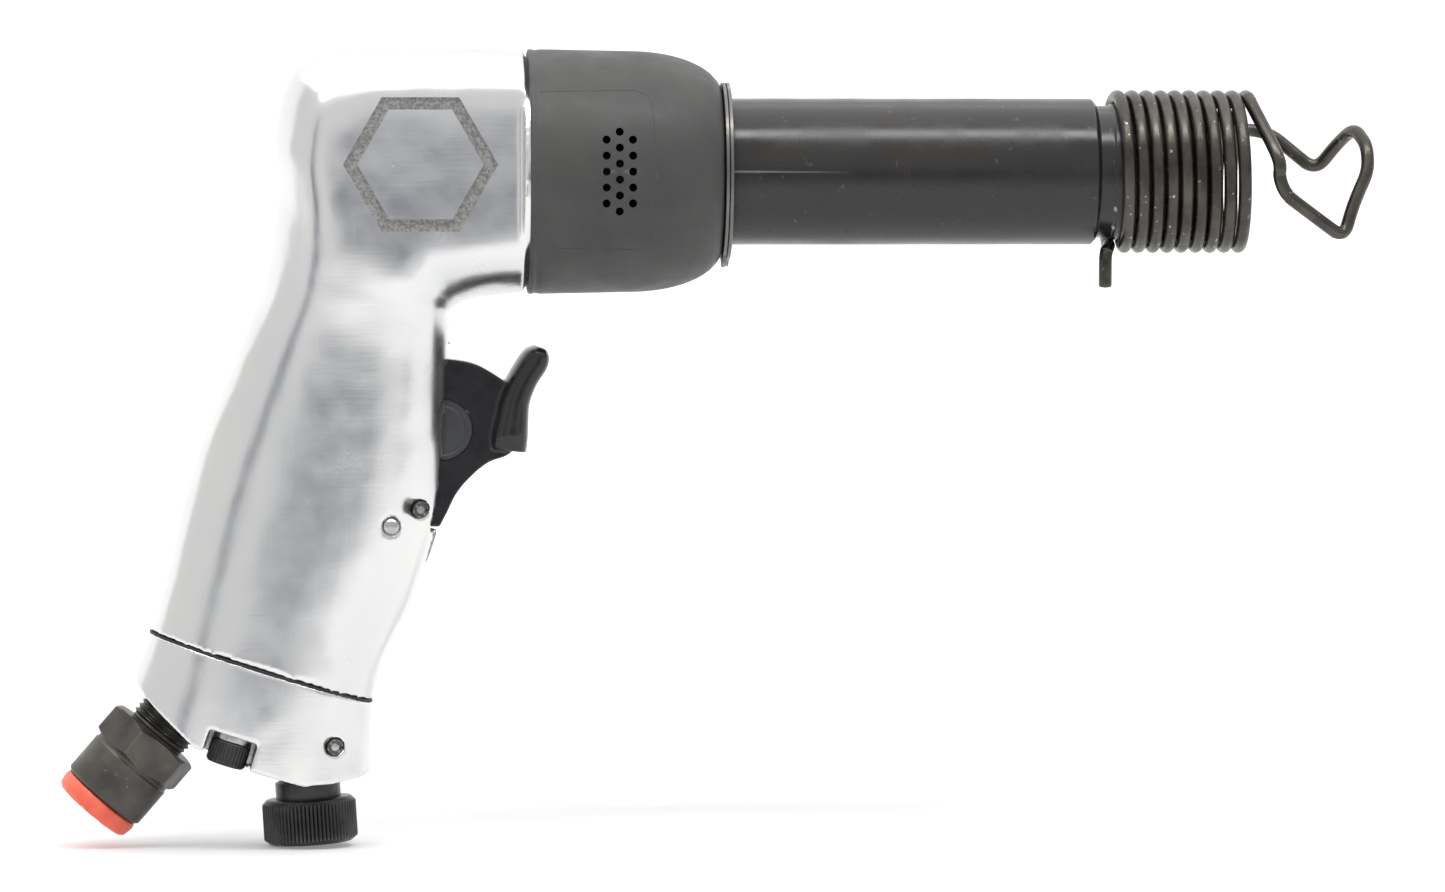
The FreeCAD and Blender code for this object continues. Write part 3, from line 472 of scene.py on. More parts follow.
# ---------------------------------------------------------------- handle and base castings
# Each station is (rear point, front point, half width of the full round, half width of the side flats), up the
# grip, round the corner under the head and out to the head's front face. They repeat the CAD's stations.
HANDLE_STATIONS = [
    ((-266.1, -113.8), (-210.8, -131.6), 20.6, 20.0),
    ((-262.8, -102.0), (-207.5, -120.0), 20.0, 19.0),
    ((-258.3, -84.0), (-199.8, -104.0), 19.6, 18.2),
    ((-253.8, -68.0), (-193.5, -84.5), 19.8, 18.0),
    ((-246.8, -50.0), (-191.8, -64.5), 20.6, 18.6),
    ((-242.5, -39.5), (-191.0, -46.5), 21.8, 19.6),
    ((-237.6, -26.5), (-190.3, -34.8), 24.0, 21.2),
    ((-235.5, -9.0), (-190.0, -33.9), 26.4, 22.4),
    ((-235.3, 11.0), (-189.7, -33.5), 28.4, 22.8),
    ((-230.5, 25.0), (-189.3, -33.1), 29.6, 22.8),
    ((-220.5, 29.6), (-189.0, -32.9), 30.2, 22.8),
    ((-206.0, 30.8), (-188.4, -32.5), 30.6, 22.8),
    ((-185.5, 30.9), (-183.5, -31.3), 30.8, 22.8),
    ((HEAD_FRONT_X, 30.5), (HEAD_FRONT_X, -30.2), 30.4, 22.8),
]
BASE_STATIONS = [
    HANDLE_STATIONS[0],
    ((-269.9, -124.6), (-211.3, -142.5), 21.0, 20.4),
    ((-274.2, -138.0), (-210.4, -157.0), 21.2, 20.6),
]
FLAT_SHARPNESS = 12.0
HEAD_SIDE_Y = 22.8


def section(station, points=120):
    """A station's outline: an ellipse whose sides are softly held in to the flats."""
    (rear_x, rear_z), (front_x, front_z), round_half, flat_half = station
    angles = np.arange(points) * 2 * pi / points
    side = np.maximum(np.abs(round_half * np.sin(angles)), 0.01)
    held = (side ** -FLAT_SHARPNESS + flat_half ** -FLAT_SHARPNESS) ** (-1 / FLAT_SHARPNESS)
    share = np.cos(angles) / 2
    return np.stack([(rear_x + front_x) / 2 + share * (front_x - rear_x), np.sign(np.sin(angles)) * held,
                     (rear_z + front_z) / 2 + share * (front_z - rear_z)], axis=1)


def between(rings, steps):
    """Rings blended smoothly through the given ones (Catmull-Rom with uneven spacing)."""
    gaps = [sqrt(np.linalg.norm(b - a, axis=1).mean()) for a, b in zip(rings, rings[1:])]
    rings = [2 * rings[0] - rings[1]] + rings + [2 * rings[-1] - rings[-2]]
    gaps = [gaps[0]] + gaps + [gaps[-1]]
    knots = np.concatenate([[0], np.cumsum(gaps)])
    out = []
    for i in range(1, len(rings) - 2):
        p0, p1, p2, p3 = rings[i - 1:i + 3]
        t0, t1, t2, t3 = knots[i - 1:i + 3]
        for t in np.linspace(t1, t2, steps, endpoint=False):
            a1 = (p0 * (t1 - t) + p1 * (t - t0)) / (t1 - t0)
            a2 = (p1 * (t2 - t) + p2 * (t - t1)) / (t2 - t1)
            a3 = (p2 * (t3 - t) + p3 * (t - t2)) / (t3 - t2)
            b1 = (a1 * (t2 - t) + a2 * (t - t0)) / (t2 - t0)
            b2 = (a2 * (t3 - t) + a3 * (t - t1)) / (t3 - t1)
            out.append((b1 * (t2 - t) + b2 * (t - t1)) / (t2 - t1))
    return out + [rings[-2]]


def skinned(name, stations, steps=10):
    rings = between([section(s) for s in stations], steps)
    return grid_object(name, [[Vector(p) for p in ring] for ring in rings])


# The badge is a plain hexagon outline round a small ring, sunk into the side of the head that faces -Y.
BADGE = Vector((-199.0, -HEAD_SIDE_Y, 1.75))
BADGE_RADIUS = 19.0
BADGE_STROKE = 3.0
BADGE_DEPTH = 1.1
BADGE_RING_R = 6.6
BADGE_RING_STROKE = 2.4


def badge_cutter(name, outer, stroke, segments):
    """A ring from outside the head to the badge's floor. Six segments make it a hexagon."""
    inner = outer - stroke / cos(pi / segments)
    profile = [(-3.7, inner), (-3.7, outer), (BADGE_DEPTH, outer), (BADGE_DEPTH, inner)]
    return lathe(name, profile, BADGE, Y, segments, corner=0.01)


def in_recess(place, normal):
    """True on the badge's floor and lower walls and on the walls of the trigger's slot."""
    across, up = place.x - BADGE.x, place.z - BADGE.z
    from_middle = max(abs(across * cos(pi / 6) + up / 2), abs(across * cos(pi / 6) - up / 2), abs(up))
    rim = BADGE_RADIUS * cos(pi / 6)
    on_rim = rim - BADGE_STROKE - 0.1 < from_middle < rim + 0.05
    on_ring = across ** 2 + up ** 2 < BADGE_RING_R ** 2
    if (on_rim or on_ring) and BADGE.y + 0.35 < place.y < BADGE.y + 2:
        return True
    in_slot = abs(place.y) < 6.9 and -97 < place.z < -42.5 and PIVOT.x - 14 < place.x < -189
    return in_slot and (abs(normal.y) > 0.7 or normal.x > 0.9 or abs(normal.z) > 0.8)


def dress_recesses(obj):
    obj.data.materials.append(ALUMINIUM)
    obj.data.materials.append(CAST)
    for face in obj.data.polygons:
        if in_recess(face.center / MM, face.normal):
            face.material_index = 1


def hand_polish(place):
    """The slow unevenness that hand polishing leaves."""
    return 0.16 * noise.noise(place / 17.0) + 0.07 * noise.noise(place / 7.0 + Vector((5, 1, 3)))


SLOT_HALF_WIDTH = 6.4
CROSS_HOLE_R = 2.1
# The bore is narrower than the CAD's, so that the head's wall is thick enough for the badge.
BORE_R = 17.0


def along_x(name, radius, start_x, end_x):
    return rod(name, radius, X * start_x, X * end_x, 128)


def make_handle():
    body = skinned("handle_casting", HANDLE_STATIONS)
    spigot_radius = high("exhaust_deflector").z - 2.3
    tools = [
        box_of("slot", (-209, -SLOT_HALF_WIDTH, -89.0), (-180, SLOT_HALF_WIDTH, -43)),
        box_of("slot_end", (-210.5, -SLOT_HALF_WIDTH, -96), (-198.2, SLOT_HALF_WIDTH, -85)),
        cross_rod("pivot_hole", CROSS_HOLE_R, PIVOT, 30),
        cross_rod("stop_hole", CROSS_HOLE_R, STOP, 30),
        along_x("valve_bore", BORE_R, -206, HEAD_FRONT_X + 5),
        rod("throttle_bore", 7.5, THROTTLE_AT - X * 28, THROTTLE_AT - X * 5),
        rod("throttle_chamber", 6.5, THROTTLE_AT - X * 45, THROTTLE_AT - X * 27),
    ]
    cut(body, tools)
    spigot = along_x("spigot", spigot_radius, HEAD_FRONT_X - 0.5, SPIGOT_FRONT_X)
    cut(spigot, [along_x("barrel_bore", BORE_R, HEAD_FRONT_X - 5, SPIGOT_FRONT_X + 5)])
    body = joined("handle_casting", [body, spigot])
    remeshed(body, 0.72, 4)
    displaced(body, hand_polish)
    badge = joined("badge", [badge_cutter("badge_rim", BADGE_RADIUS, BADGE_STROKE, 6),
                             badge_cutter("badge_middle", BADGE_RING_R, BADGE_RING_STROKE, 48)])
    cut(body, [badge], solver="FAST")
    smooth(body, 50)
    dress_recesses(body)
    return place(body, "housing", ALUMINIUM, ["handle"], "cast_aluminium")


# The base's underside, front to rear, with the shelf beside the screw pockets; it repeats the CAD's outline.
BASE_UNDERSIDE = [
    (-205.0, -110.0), (-205.0, -140.0), (-211.2, -148.2), (-212.6, -149.8), (-220.5, -151.2),
    (-230.5, -151.9),
    (-240.2, -152.8), (-243.2, -151.8), (-244.8, -149.6), (-245.5, -147.4), (-247.6, -145.6),
    (-251.5, -143.4),
    (-255.0, -141.9), (-267.2, -130.0), (-269.2, -127.0), (-272.0, -118.0), (-275.0, -100.0),
]
POCKET_R = 6.2
GASKET_THICKNESS = 0.4
LOCK_WASHER_THICKNESS = 1.6
LOCK_WASHER_R = 4.8


def screw_places():
    """Where each base screw's lock washer sits."""
    middle = centre("base_lock_washers")
    reach = high("base_lock_washers").y - LOCK_WASHER_R
    half_washer = DOWN_GRIP * LOCK_WASHER_THICKNESS / 2
    return [Vector((middle.x, reach * side, middle.z)) - half_washer for side in (-1, 1)]


def pocket(at):
    """The notch round one screw head, open downwards and to its side."""
    across = DOWN_GRIP.cross(Y).normalized()
    outward = 1 if at.y > 0 else -1
    corners = [at + across * sx * POCKET_R + DOWN_GRIP * d for sx, d in ((-1, 0), (1, 0), (1, 25), (-1, 25))]
    slot = prism("pocket_slot", [(c.x, c.z) for c in corners], 8.0, centre_at=at.y + outward * 8.0)
    return [rod("pocket", POCKET_R, at, at + DOWN_GRIP * 25), slot]


def make_base():
    body = skinned("handle_base_casting", BASE_STATIONS, steps=12)
    top = Vector(section(BASE_STATIONS[0]).mean(axis=0)) + DOWN_GRIP * GASKET_THICKNESS
    cut(body, [prism("underside", BASE_UNDERSIDE, 30)], "INTERSECT")
    above = rod("above", 60, top, top - DOWN_GRIP * 30)
    tools = [above, rod("inlet_hole", 8.5, INLET_FACE + INLET_OUT * 8, INLET_FACE - INLET_OUT * 14),
             rod("regulator_mouth", 8.4, KNOB_POINT, KNOB_POINT + KNOB_UP * 10.5),
             rod("regulator_hole", 7.1, KNOB_POINT, KNOB_POINT + KNOB_UP * 30),
             cross_rod("pin_hole", CROSS_HOLE_R, REGULATOR_PIN, 30)]
    for at in screw_places():
        tools += pocket(at)
    cut(body, tools)
    remeshed(body, 0.42, 4)
    displaced(body, hand_polish)
    return place(body, "housing", ALUMINIUM, ["handle_base"], "cast_aluminium")


# ---------------------------------------------------------------- pins
PIN_R = 1.98


def spring_pin(name, node):
    """A rolled pin with chamfered ends and the slit that runs along it."""
    half, at = (high(node).y - low(node).y) / 2, centre(node)
    base = at - Y * half
    pin = lathe(name, [(0, 1.05), (0, PIN_R - 0.35), (0.6, PIN_R), (2 * half - 0.6, PIN_R),
                       (2 * half, PIN_R - 0.35), (2 * half, 1.05)], base, Y, 48, corner=0.12)
    slit = prism("slit", [(at.x, at.z - 0.25), (at.x + 3, at.z - 0.25), (at.x + 3, at.z + 0.25),
                          (at.x, at.z + 0.25)], half + 1)
    return smooth(cut(pin, [slit]), 30)


def make_pins():
    for node in ("trigger_pivot_pin", "regulator_pin"):
        pin = spring_pin(node + "_rolled", node)
        core = cross_rod(node + "_core", 1.04, centre(node), high(node).y - 0.8)
        place(core, "housing", BRIGHT_STEEL)
        place(pin, "housing", PHOSPHATE_STEEL, [node], "bright_steel")
    half = high("trigger_stop_pin").y
    profile = [(0, 0), (0.3, 1.3), (0.8, PIN_R), (2 * half - 0.8, PIN_R), (2 * half - 0.3, 1.3),
               (2 * half, 0)]
    dowel = lathe("trigger_stop_dowel", profile, STOP - Y * half, Y, 48, 0.3, False)
    place(dowel, "housing", BRIGHT_STEEL, ["trigger_stop_pin"], "bright_steel")


# ---------------------------------------------------------------- trigger
PAD_CENTRELINE = [((-176.7, -69.3), 4.9), ((-176.3, -66.0), 4.9), ((-175.6, -61.0), 4.4),
                  ((-174.8, -56.6), 4.0),
                  ((-172.6, -51.6), 3.7), ((-169.7, -47.0), 3.6), ((-168.9, -45.2), 2.9),
                  ((-168.4, -43.9), 1.5)]
WEB_TOP = [(-200.5, -46.0), (-191.0, -46.6), (-185.2, -47.8), (-180.2, -50.5), (-175.0, -54.2)]
WEB_UNDERSIDE = [(-173.5, -66.0), (-177.0, -70.2), (-182.0, -72.2), (-186.5, -75.8), (-190.0, -80.0),
                 (-192.3, -84.6), (-194.2, -88.2)]
WEB_REAR = [(-199.0, -88.0), (-203.4, -85.0), (-200.5, -80.0)]
TAIL = [(-198.8, -87.6), (-201.5, -85.0), (-203.4, -85.0), (-203.4, -89.7), (-208.0, -89.7), (-208.0, -92.3),
        (-203.7, -92.3)]
WEB_HALF_WIDTH = 6.0


def make_trigger():
    rings = []
    for i, ((x, z), half_thickness) in enumerate(PAD_CENTRELINE):
        before = PAD_CENTRELINE[max(i - 1, 0)][0]
        after = PAD_CENTRELINE[min(i + 1, len(PAD_CENTRELINE) - 1)][0]
        along = Vector((after[0] - before[0], 0, after[1] - before[1])).normalized()
        outward = Vector((along.z, 0, -along.x))
        half_width = high("trigger").y - (1.2 if i in (0, len(PAD_CENTRELINE) - 1) else 0.0)
        ring = []
        for a in np.arange(64) * 2 * pi / 64:
            c, s = cos(a), sin(a)
            wide = half_width * np.sign(c) * abs(c) ** 0.55
            thick = half_thickness * np.sign(s) * abs(s) ** 0.8
            hollow = 0.8 * (1 - (wide / half_width) ** 2)
            ring.append(np.array(Vector((x, 0, z)) + Y * wide + outward * (thick - hollow)))
        rings.append(np.array(ring))
    pad = grid_object("pad", [[Vector(p) for p in ring] for ring in between(rings, 6)])
    curves = [through([(x, 0, z) for x, z in points]) for points in (WEB_TOP, WEB_UNDERSIDE)]
    web = prism("web", [(p.x, p.z) for p in curves[0] + curves[1]] + WEB_REAR, WEB_HALF_WIDTH)
    tail = prism("tail", TAIL, WEB_HALF_WIDTH)
    boss = cross_rod("boss", 4.4, PIVOT, WEB_HALF_WIDTH)
    body = joined("trigger_moulding", [pad, web, tail, boss])
    remeshed(body, 0.3, 6)
    cut(body, [cross_rod("disc_hole", 7.75, DISC, 20), cross_rod("pin_hole", 2.05, PIVOT, 20)])
    smooth(body, 45)
    place(body, "trigger_arm", TRIGGER_PLASTIC, ["trigger"], "trigger_plastic")
    half = high("trigger_wear_disc").y
    face = [(0, 0), (0, 5.6), (0.35, 6.1), (0, 6.6), (0, 7.7)]
    profile = face + [(2 * half - along, radius) for along, radius in reversed(face)]
    disc = lathe("trigger_disc", profile, DISC - Y * half, Y, 96, 0.2, False)
    place(disc, "trigger_arm", DISC_PLASTIC, ["trigger_wear_disc"], "disc_plastic")


# ---------------------------------------------------------------- power regulator
KNOB_TEETH = 72
KNOB_R = 11.7
KNOB_HALF = 5.5


def make_regulator():
    def knob_radius(level, angle):
        edge = min(1.0, (KNOB_HALF - abs(level)) / 1.2)
        chamfer = 1.5 * (1 - edge) if level < 0 else 1.1 * (1 - edge)
        flute = 0.42 * abs(sin(KNOB_TEETH * angle / 2)) ** 0.8
        return min(KNOB_R - 0.42 + flute, KNOB_R + 0.05 - chamfer)

    levels = [-KNOB_HALF, -5.2, -4.9, -4.6, -4.3, -3.5, -1.5, 1.5, 3.5, 4.3, 4.7, 5.0, 5.3, KNOB_HALF]
    knob = polar("regulator_knob_grip", levels, knob_radius, KNOB_POINT, KNOB_UP, KNOB_TEETH * 8, 50)
    place(knob, "regulator", DARK_STEEL, [], "dark_steel")
    face = lathe("regulator_knob_face", [(0, 0), (0, 8.4), (0.5, 9.0), (0.9, 9.0), (0.9, 0)],
                 KNOB_POINT - KNOB_UP * (KNOB_HALF + 0.15), KNOB_UP, 96, 0.15, False)
    place(face, "regulator", DARK_STEEL, [], "dark_steel")
    stem = lathe("regulator_stem", [(0, 0), (0, 8.1), (5.1, 8.1), (5.6, 7.0), (14.0, 7.0), (14.0, 0)],
                 KNOB_POINT + KNOB_UP * (KNOB_HALF - 0.9), KNOB_UP, 96, 0.2, False)
    place(stem, "regulator", DARK_STEEL, ["regulator_knob"], "dark_steel")


# ---------------------------------------------------------------- air inlet
THREAD_R, THREAD_DEPTH, THREAD_PITCH = 8.4, 0.8, 1.41
HEX_NEAR, HEX_FAR, BODY_END = 5.8, 14.1, 26.2
HEX_FLAT = 11.1
BODY_R = 11.1
HEX_TURN = radians(14)


def make_inlet():
    def thread_radius(level, angle):
        phase = (level / THREAD_PITCH - angle / 2 / pi) % 1.0
        shape = abs(2 * phase - 1) ** 1.2
        runout = min(1.0, max(0.0, (HEX_NEAR - 0.5 - level) / 1.2))
        return THREAD_R - THREAD_DEPTH * (1 - shape * runout)

    def hex_radius(level, angle):
        turn = (angle + HEX_TURN + pi / 6) % (pi / 3) - pi / 6
        corner = HEX_FLAT / cos(turn)
        from_end = min(level - HEX_NEAR, HEX_FAR - level)
        return min(corner, HEX_FLAT + 0.1 + 1.75 * from_end, 12.65)

    levels = np.arange(-8.0, HEX_NEAR + 0.4, THREAD_PITCH / 10)
    thread = polar("inlet_thread", levels, thread_radius, INLET_FACE, INLET_OUT, 96, 60)
    place(thread, "housing", PHOSPHATE_STEEL, [], "phosphated_steel")
    hex_levels = [HEX_NEAR + t for t in (0, 0.1, 0.25, 0.4, 0.6, 0.8, 1.0)]
    hex_levels += [HEX_FAR - t for t in (1.0, 0.8, 0.6, 0.4, 0.25, 0.1, 0)]
    nut = polar("inlet_hexagon", hex_levels, hex_radius, INLET_FACE, INLET_OUT, 6 * 32, 28)
    place(nut, "housing", PHOSPHATE_STEEL, [], "phosphated_steel")
    body = lathe("inlet_body", [(HEX_FAR - 1, 5.9), (HEX_FAR - 1, BODY_R - 0.35),
                                (HEX_FAR + 0.9, BODY_R - 0.35),
                                (HEX_FAR + 1.3, BODY_R), (BODY_END - 0.9, BODY_R), (BODY_END, BODY_R - 0.9),
                                (BODY_END, 7.6), (BODY_END - 3.6, 7.6), (BODY_END - 4.5, 5.9)],
                 INLET_FACE, INLET_OUT, 128, 0.18)
    place(body, "housing", PHOSPHATE_STEEL, ["inlet_bushing"], "phosphated_steel")
    plug = lathe("inlet_dust_plug", [(-3.2, 0), (-3.2, 7.0), (-2.7, 7.5), (0.05, 7.5), (0.05, 10.5),
                                     (1.2, 10.75),
                                     (3.6, 10.3), (4.5, 9.3), (4.5, 7.2), (3.9, 6.6), (3.9, 0)],
                 INLET_FACE + INLET_OUT * BODY_END, INLET_OUT, 128, 0.45, False)
    displaced(plug, lambda place: 0.1 * noise.noise(place / 2.5))
    place(plug, "plug", PLUG_PLASTIC, ["inlet_plug"], "plug_plastic")


# ---------------------------------------------------------------- base screws
def make_base_screws():
    def head_radius(level, angle):
        edge = min(1.0, max(0.0, (6.0 - level) / 0.6), max(0.0, level / 0.25 + 0.4))
        return 4.95 - 0.2 * abs(sin(18 * angle)) * (1 if 0.5 < level < 5.2 else 0) - 0.55 * (1 - edge)

    for side, at in zip(("near", "far"), screw_places()):
        seat = at + DOWN_GRIP * LOCK_WASHER_THICKNESS
        levels = [0, 0.25, 0.5, 0.7, 2, 3.5, 5.0, 5.3, 5.5, 5.8, 6.0]
        head = polar("base_screw_head_" + side, levels, head_radius, seat, DOWN_GRIP, 216, 45)
        sides = [(2.9 * cos(a), 2.9 * sin(a)) for a in (pi / 3 * i for i in range(6))]
        first, second = axes_of(DOWN_GRIP)
        socket = grid_object("socket", [[seat + DOWN_GRIP * d + first * u + second * v for u, v in sides]
                                        for d in (3.0, 8.0)])
        cut(head, [socket])
        smooth(head, 35)
        shank = rod("base_screw_shank_" + side, 3.0, seat, at - DOWN_GRIP * 27)
        place(shank, "housing", DARK_STEEL, [], "dark_steel")
        place(head, "housing", DARK_STEEL, ["base_screws"] if side == "near" else [], "dark_steel")
        profile = [(0, 3.2), (0, LOCK_WASHER_R), (1.5, LOCK_WASHER_R), (1.5, 3.2)]
        washer = lathe("lock_washer_" + side, profile, at, DOWN_GRIP, 96, 0.15)
        slit = grid_object("slit", [[at + DOWN_GRIP * (d + 0.5 * u) + first * u + second * v
                                     for u, v in ((-0.3, 2), (0.3, 2), (0.3, 6), (-0.3, 6))] for d in (-1,
                                                                                                       3)])
        cut(washer, [slit])
        smooth(washer, 35)
        place(washer, "housing", BRIGHT_STEEL, ["base_lock_washers"] if side == "near" else [],
              "bright_steel")


# ---------------------------------------------------------------- barrel, ring and deflector
BARREL_R = 18.25
SHOULDER_X = MUZZLE_X - 30.25
NOSE_R = 17.05


def make_barrel():
    barrel = lathe("barrel_tube", [
        (BARREL_REAR_X, 9.5), (BARREL_REAR_X, 21.5), (SPIGOT_FRONT_X, 21.5), (SPIGOT_FRONT_X, 24.0),
        (SPIGOT_FRONT_X + 4, 24.0), (SPIGOT_FRONT_X + 5.5, BARREL_R), (-124.0, BARREL_R),
        (-124.0, BARREL_R - 0.6),
        (-121.8, BARREL_R - 0.6), (-121.8, BARREL_R), (-60, BARREL_R), (SHOULDER_X - 1.0, BARREL_R),
        (SHOULDER_X, BARREL_R - 1.1), (SHOULDER_X, 16.5), (SHOULDER_X + 3.4, 16.5),
        (SHOULDER_X + 4.0, NOSE_R),
        (MUZZLE_X - 1.4, NOSE_R), (MUZZLE_X, NOSE_R - 1.4), (MUZZLE_X, 6.2), (MUZZLE_X - 1.0, 5.15),
        (-38.0, 5.15),
        (-38.0, 9.5)], Vector(), X, 160, 0.35)
    place(barrel, "housing", BLACK_STEEL, ["barrel"], "black_steel")


def make_deflector_ring():
    """Two turns of flat steel whose ends stand side by side underneath."""
    rear, front = low("deflector_ring").x, high("deflector_ring").x
    middle = (rear + front) / 2
    for name, start, end, gap_at in (("rear", rear, middle - 0.05, -96),
                                     ("front", middle + 0.05, front, -80)):
        gap = radians(gap_at)
        angles = np.linspace(gap + 0.07, gap + 2 * pi - 0.07, 160)
        rings = []
        for a in angles:
            outward = Vector((0, cos(a), sin(a)))
            flare = 1.6 * max(0.0, 1 - min(a - angles[0], angles[-1] - a) / 0.16) ** 1.5
            corners = [(start, BARREL_R - 0.4), (start, 22.0), (start + 0.12, 22.2), (end - 0.12, 22.2),
                       (end, 22.0), (end, BARREL_R - 0.4)]
            rings.append([X * x + outward * (r + (flare if r > 20 else 0)) for x, r in corners])
        turn = grid_object("deflector_ring_" + name, rings, angle=30)
        place(turn, "housing", DARK_STEEL, ["deflector_ring"] if name == "rear" else [], "dark_steel")


VENT_ROWS = {-3.24: 5, 0.0: 6, 3.24: 5}      # how many vents stand in each column, by its place along X
VENT_MIDDLE_X = -150.4
VENT_PITCH = 3.9


def deflector_radius(x):
    """The sleeve's outer radius: nearly straight, then a quarter ellipse in to the front."""
    rear, shoulder, front = low("exhaust_deflector").x, -146.5, high("exhaust_deflector").x
    full = high("exhaust_deflector").z
    if x < shoulder:
        return full - 0.5 * (x - rear) / (shoulder - rear)
    share = min(1.0, (x - shoulder) / (front - shoulder))
    return 19.6 + (full - 0.5 - 19.6) * sqrt(max(0.0, 1 - share ** 2))


def make_deflector():
    rear, front = low("exhaust_deflector").x, high("exhaust_deflector").x
    outer = [(x, deflector_radius(x)) for x in np.linspace(rear + 3.2, front - 1.0, 26)]
    bead = [(rear + 0.1, 28.3), (rear, 29.9), (rear + 0.25, 30.35), (rear + 0.8, 30.5), (rear + 1.4, 30.35),
            (rear + 1.8, 30.2)]
    lip = [(front - 0.4, deflector_radius(front - 1) - 1.0), (front, deflector_radius(front - 1) - 2.2),
           (front, BARREL_R + 0.06), (front - 3.5, BARREL_R + 0.06)]
    inner = [(x, max(deflector_radius(x) - 3.0, BARREL_R + 0.06)) for x in np.linspace(front - 5, -166, 8)]
    seat = [(-167.7, 26.5), (-167.7, 28.3)]
    sleeve = lathe("exhaust_sleeve", bead + outer + lip + inner + seat, segments=144, corner=0.12, steps=1)
    holes = []
    for offset, rows in VENT_ROWS.items():
        for row in range(rows):
            at = Vector((VENT_MIDDLE_X + offset, 0, (row - (rows - 1) / 2) * VENT_PITCH))
            holes += [rod("vent", 1.0, at + Y * side * 22, at + Y * side * 40, 24) for side in (-1, 1)]
    vents = joined("vents", holes)
    cut(sleeve, [vents])
    smooth(sleeve, 32)
    place(sleeve, "deflector", DEFLECTOR_RUBBER, ["exhaust_deflector"], "deflector_rubber")
    panel = [(-169.6, 19.6), (-146.0, 20.0), (-142.6, 18.2), (-141.6, 9.0), (-141.3, 0.0), (-141.6, -8.5),
             (-142.6, -17.4), (-146.0, -19.2), (-169.6, -18.8)]
    path = []
    for (x0, z0), (x1, z1) in zip(panel, panel[1:]):
        for t in np.linspace(0, 1, 12, endpoint=False):
            x, z = x0 + (x1 - x0) * t, z0 + (z1 - z0) * t
            path.append(Vector((x, -sqrt(deflector_radius(x) ** 2 - z * z) + 0.1, z)))
    line = tube("deflector_mould_line", path, 0.16, 8)
    place(line, "deflector", DEFLECTOR_RUBBER, [], "deflector_rubber")


# ---------------------------------------------------------------- chisel retainer
WIRE_R = 1.65
COIL_R = 18.75
COIL_PITCH = 3.6
COIL_START_X = MUZZLE_X - 26.4
COIL_TURNS = 9.6
COIL_START_DEGREES = -100.0
TAB_POINTS = [(-28.3, -7.8, -28.4), (-28.3, -8.2, -20.8), (-27.4, -6.4, -18.4)]
KEEPER_POINTS = [(13.2, -18.6, 4.0), (14.4, -18.6, -5.0), (30.9, -12.4, -16.6), (33.4, -10.8, -8.4),
                 (37.4, -9.8, 0.4), (37.4, -7.4, 6.4), (35.6, 0.6, 11.0), (32.4, 8.8, 7.0), (27.4, 11.4, 0.2),
                 (15.0, 12.6, 10.4), (4.6, 11.0, 10.6)]


def rounded_points(points, reach_share=0.45, steps=6):
    """Straight runs with their corners turned into short curves."""
    points = [Vector(p) for p in points]
    path = [points[0]]
    for before, corner, after in zip(points, points[1:], points[2:]):
        reach = reach_share * min((corner - before).length, (after - corner).length)
        start = corner + (before - corner).normalized() * reach
        end = corner + (after - corner).normalized() * reach
        for i in range(steps + 1):
            t = i / steps
            path.append(start * (1 - t) ** 2 + corner * 2 * t * (1 - t) + end * t ** 2)
    return path + [points[-1]]


def through(points, step=0.8):
    """A smooth curve through the points (Catmull-Rom), resampled finely."""
    points = [np.array(p) for p in points]
    ends = [2 * points[0] - points[1]] + points + [2 * points[-1] - points[-2]]
    out = []
    for p0, p1, p2, p3 in zip(ends, ends[1:], ends[2:], ends[3:]):
        count = max(2, int(np.linalg.norm(p2 - p1) / step))
        for t in np.linspace(0, 1, count, endpoint=False):
            out.append(Vector(0.5 * (2 * p1 + (p2 - p0) * t + (2 * p0 - 5 * p1 + 4 * p2 - p3) * t * t
                                     + (3 * p1 - p0 - 3 * p2 + p3) * t ** 3)))
    return out + [Vector(points[-1])]


def make_retainer():
    steps = int(COIL_TURNS * 60)
    coil = []
    for i in range(3, steps + 1):
        angle = radians(COIL_START_DEGREES) + 2 * pi * COIL_TURNS * i / steps
        coil.append(Vector((COIL_START_X + COIL_PITCH * COIL_TURNS * i / steps, COIL_R * cos(angle),
                            COIL_R * sin(angle))))
    path = through(rounded_points(TAB_POINTS)[:-1] + coil + rounded_points(KEEPER_POINTS))
    spring = tube("retainer_wire", path, WIRE_R, 20)
    place(spring, "retainer", SPRING_STEEL, ["retainer_spring"], "spring_steel")


# ---------------------------------------------------------------- parts that keep their CAD meshes
CARRIED_OVER = {
    "base_gasket": SEAL_RUBBER, "throttle_bushing": BRASS, "throttle_bushing_o_ring": SEAL_RUBBER,
    "throttle_stem_o_ring": SEAL_RUBBER, "throttle_spring": BRIGHT_STEEL, "throttle_stem": BRIGHT_STEEL,
    "throttle_seat_washer": SEAL_RUBBER, "regulator_o_ring": SEAL_RUBBER, "inlet_screen": BRASS,
    "piston": BRIGHT_STEEL, "valve_case": BRIGHT_STEEL, "valve_block": BRIGHT_STEEL,
    "distributor_valve": BRIGHT_STEEL, "valve_dowels": BRIGHT_STEEL,
}


def dress_cad_nodes():
    for node, material in CARRIED_OVER.items():
        obj = frame["nodes"][node]
        obj.data.materials.clear()
        obj.data.materials.append(material)


make_handle()
make_base()
make_pins()
make_trigger()
make_regulator()
make_inlet()
make_base_screws()
make_barrel()
make_deflector_ring()
make_deflector()
make_retainer()
dress_cad_nodes()


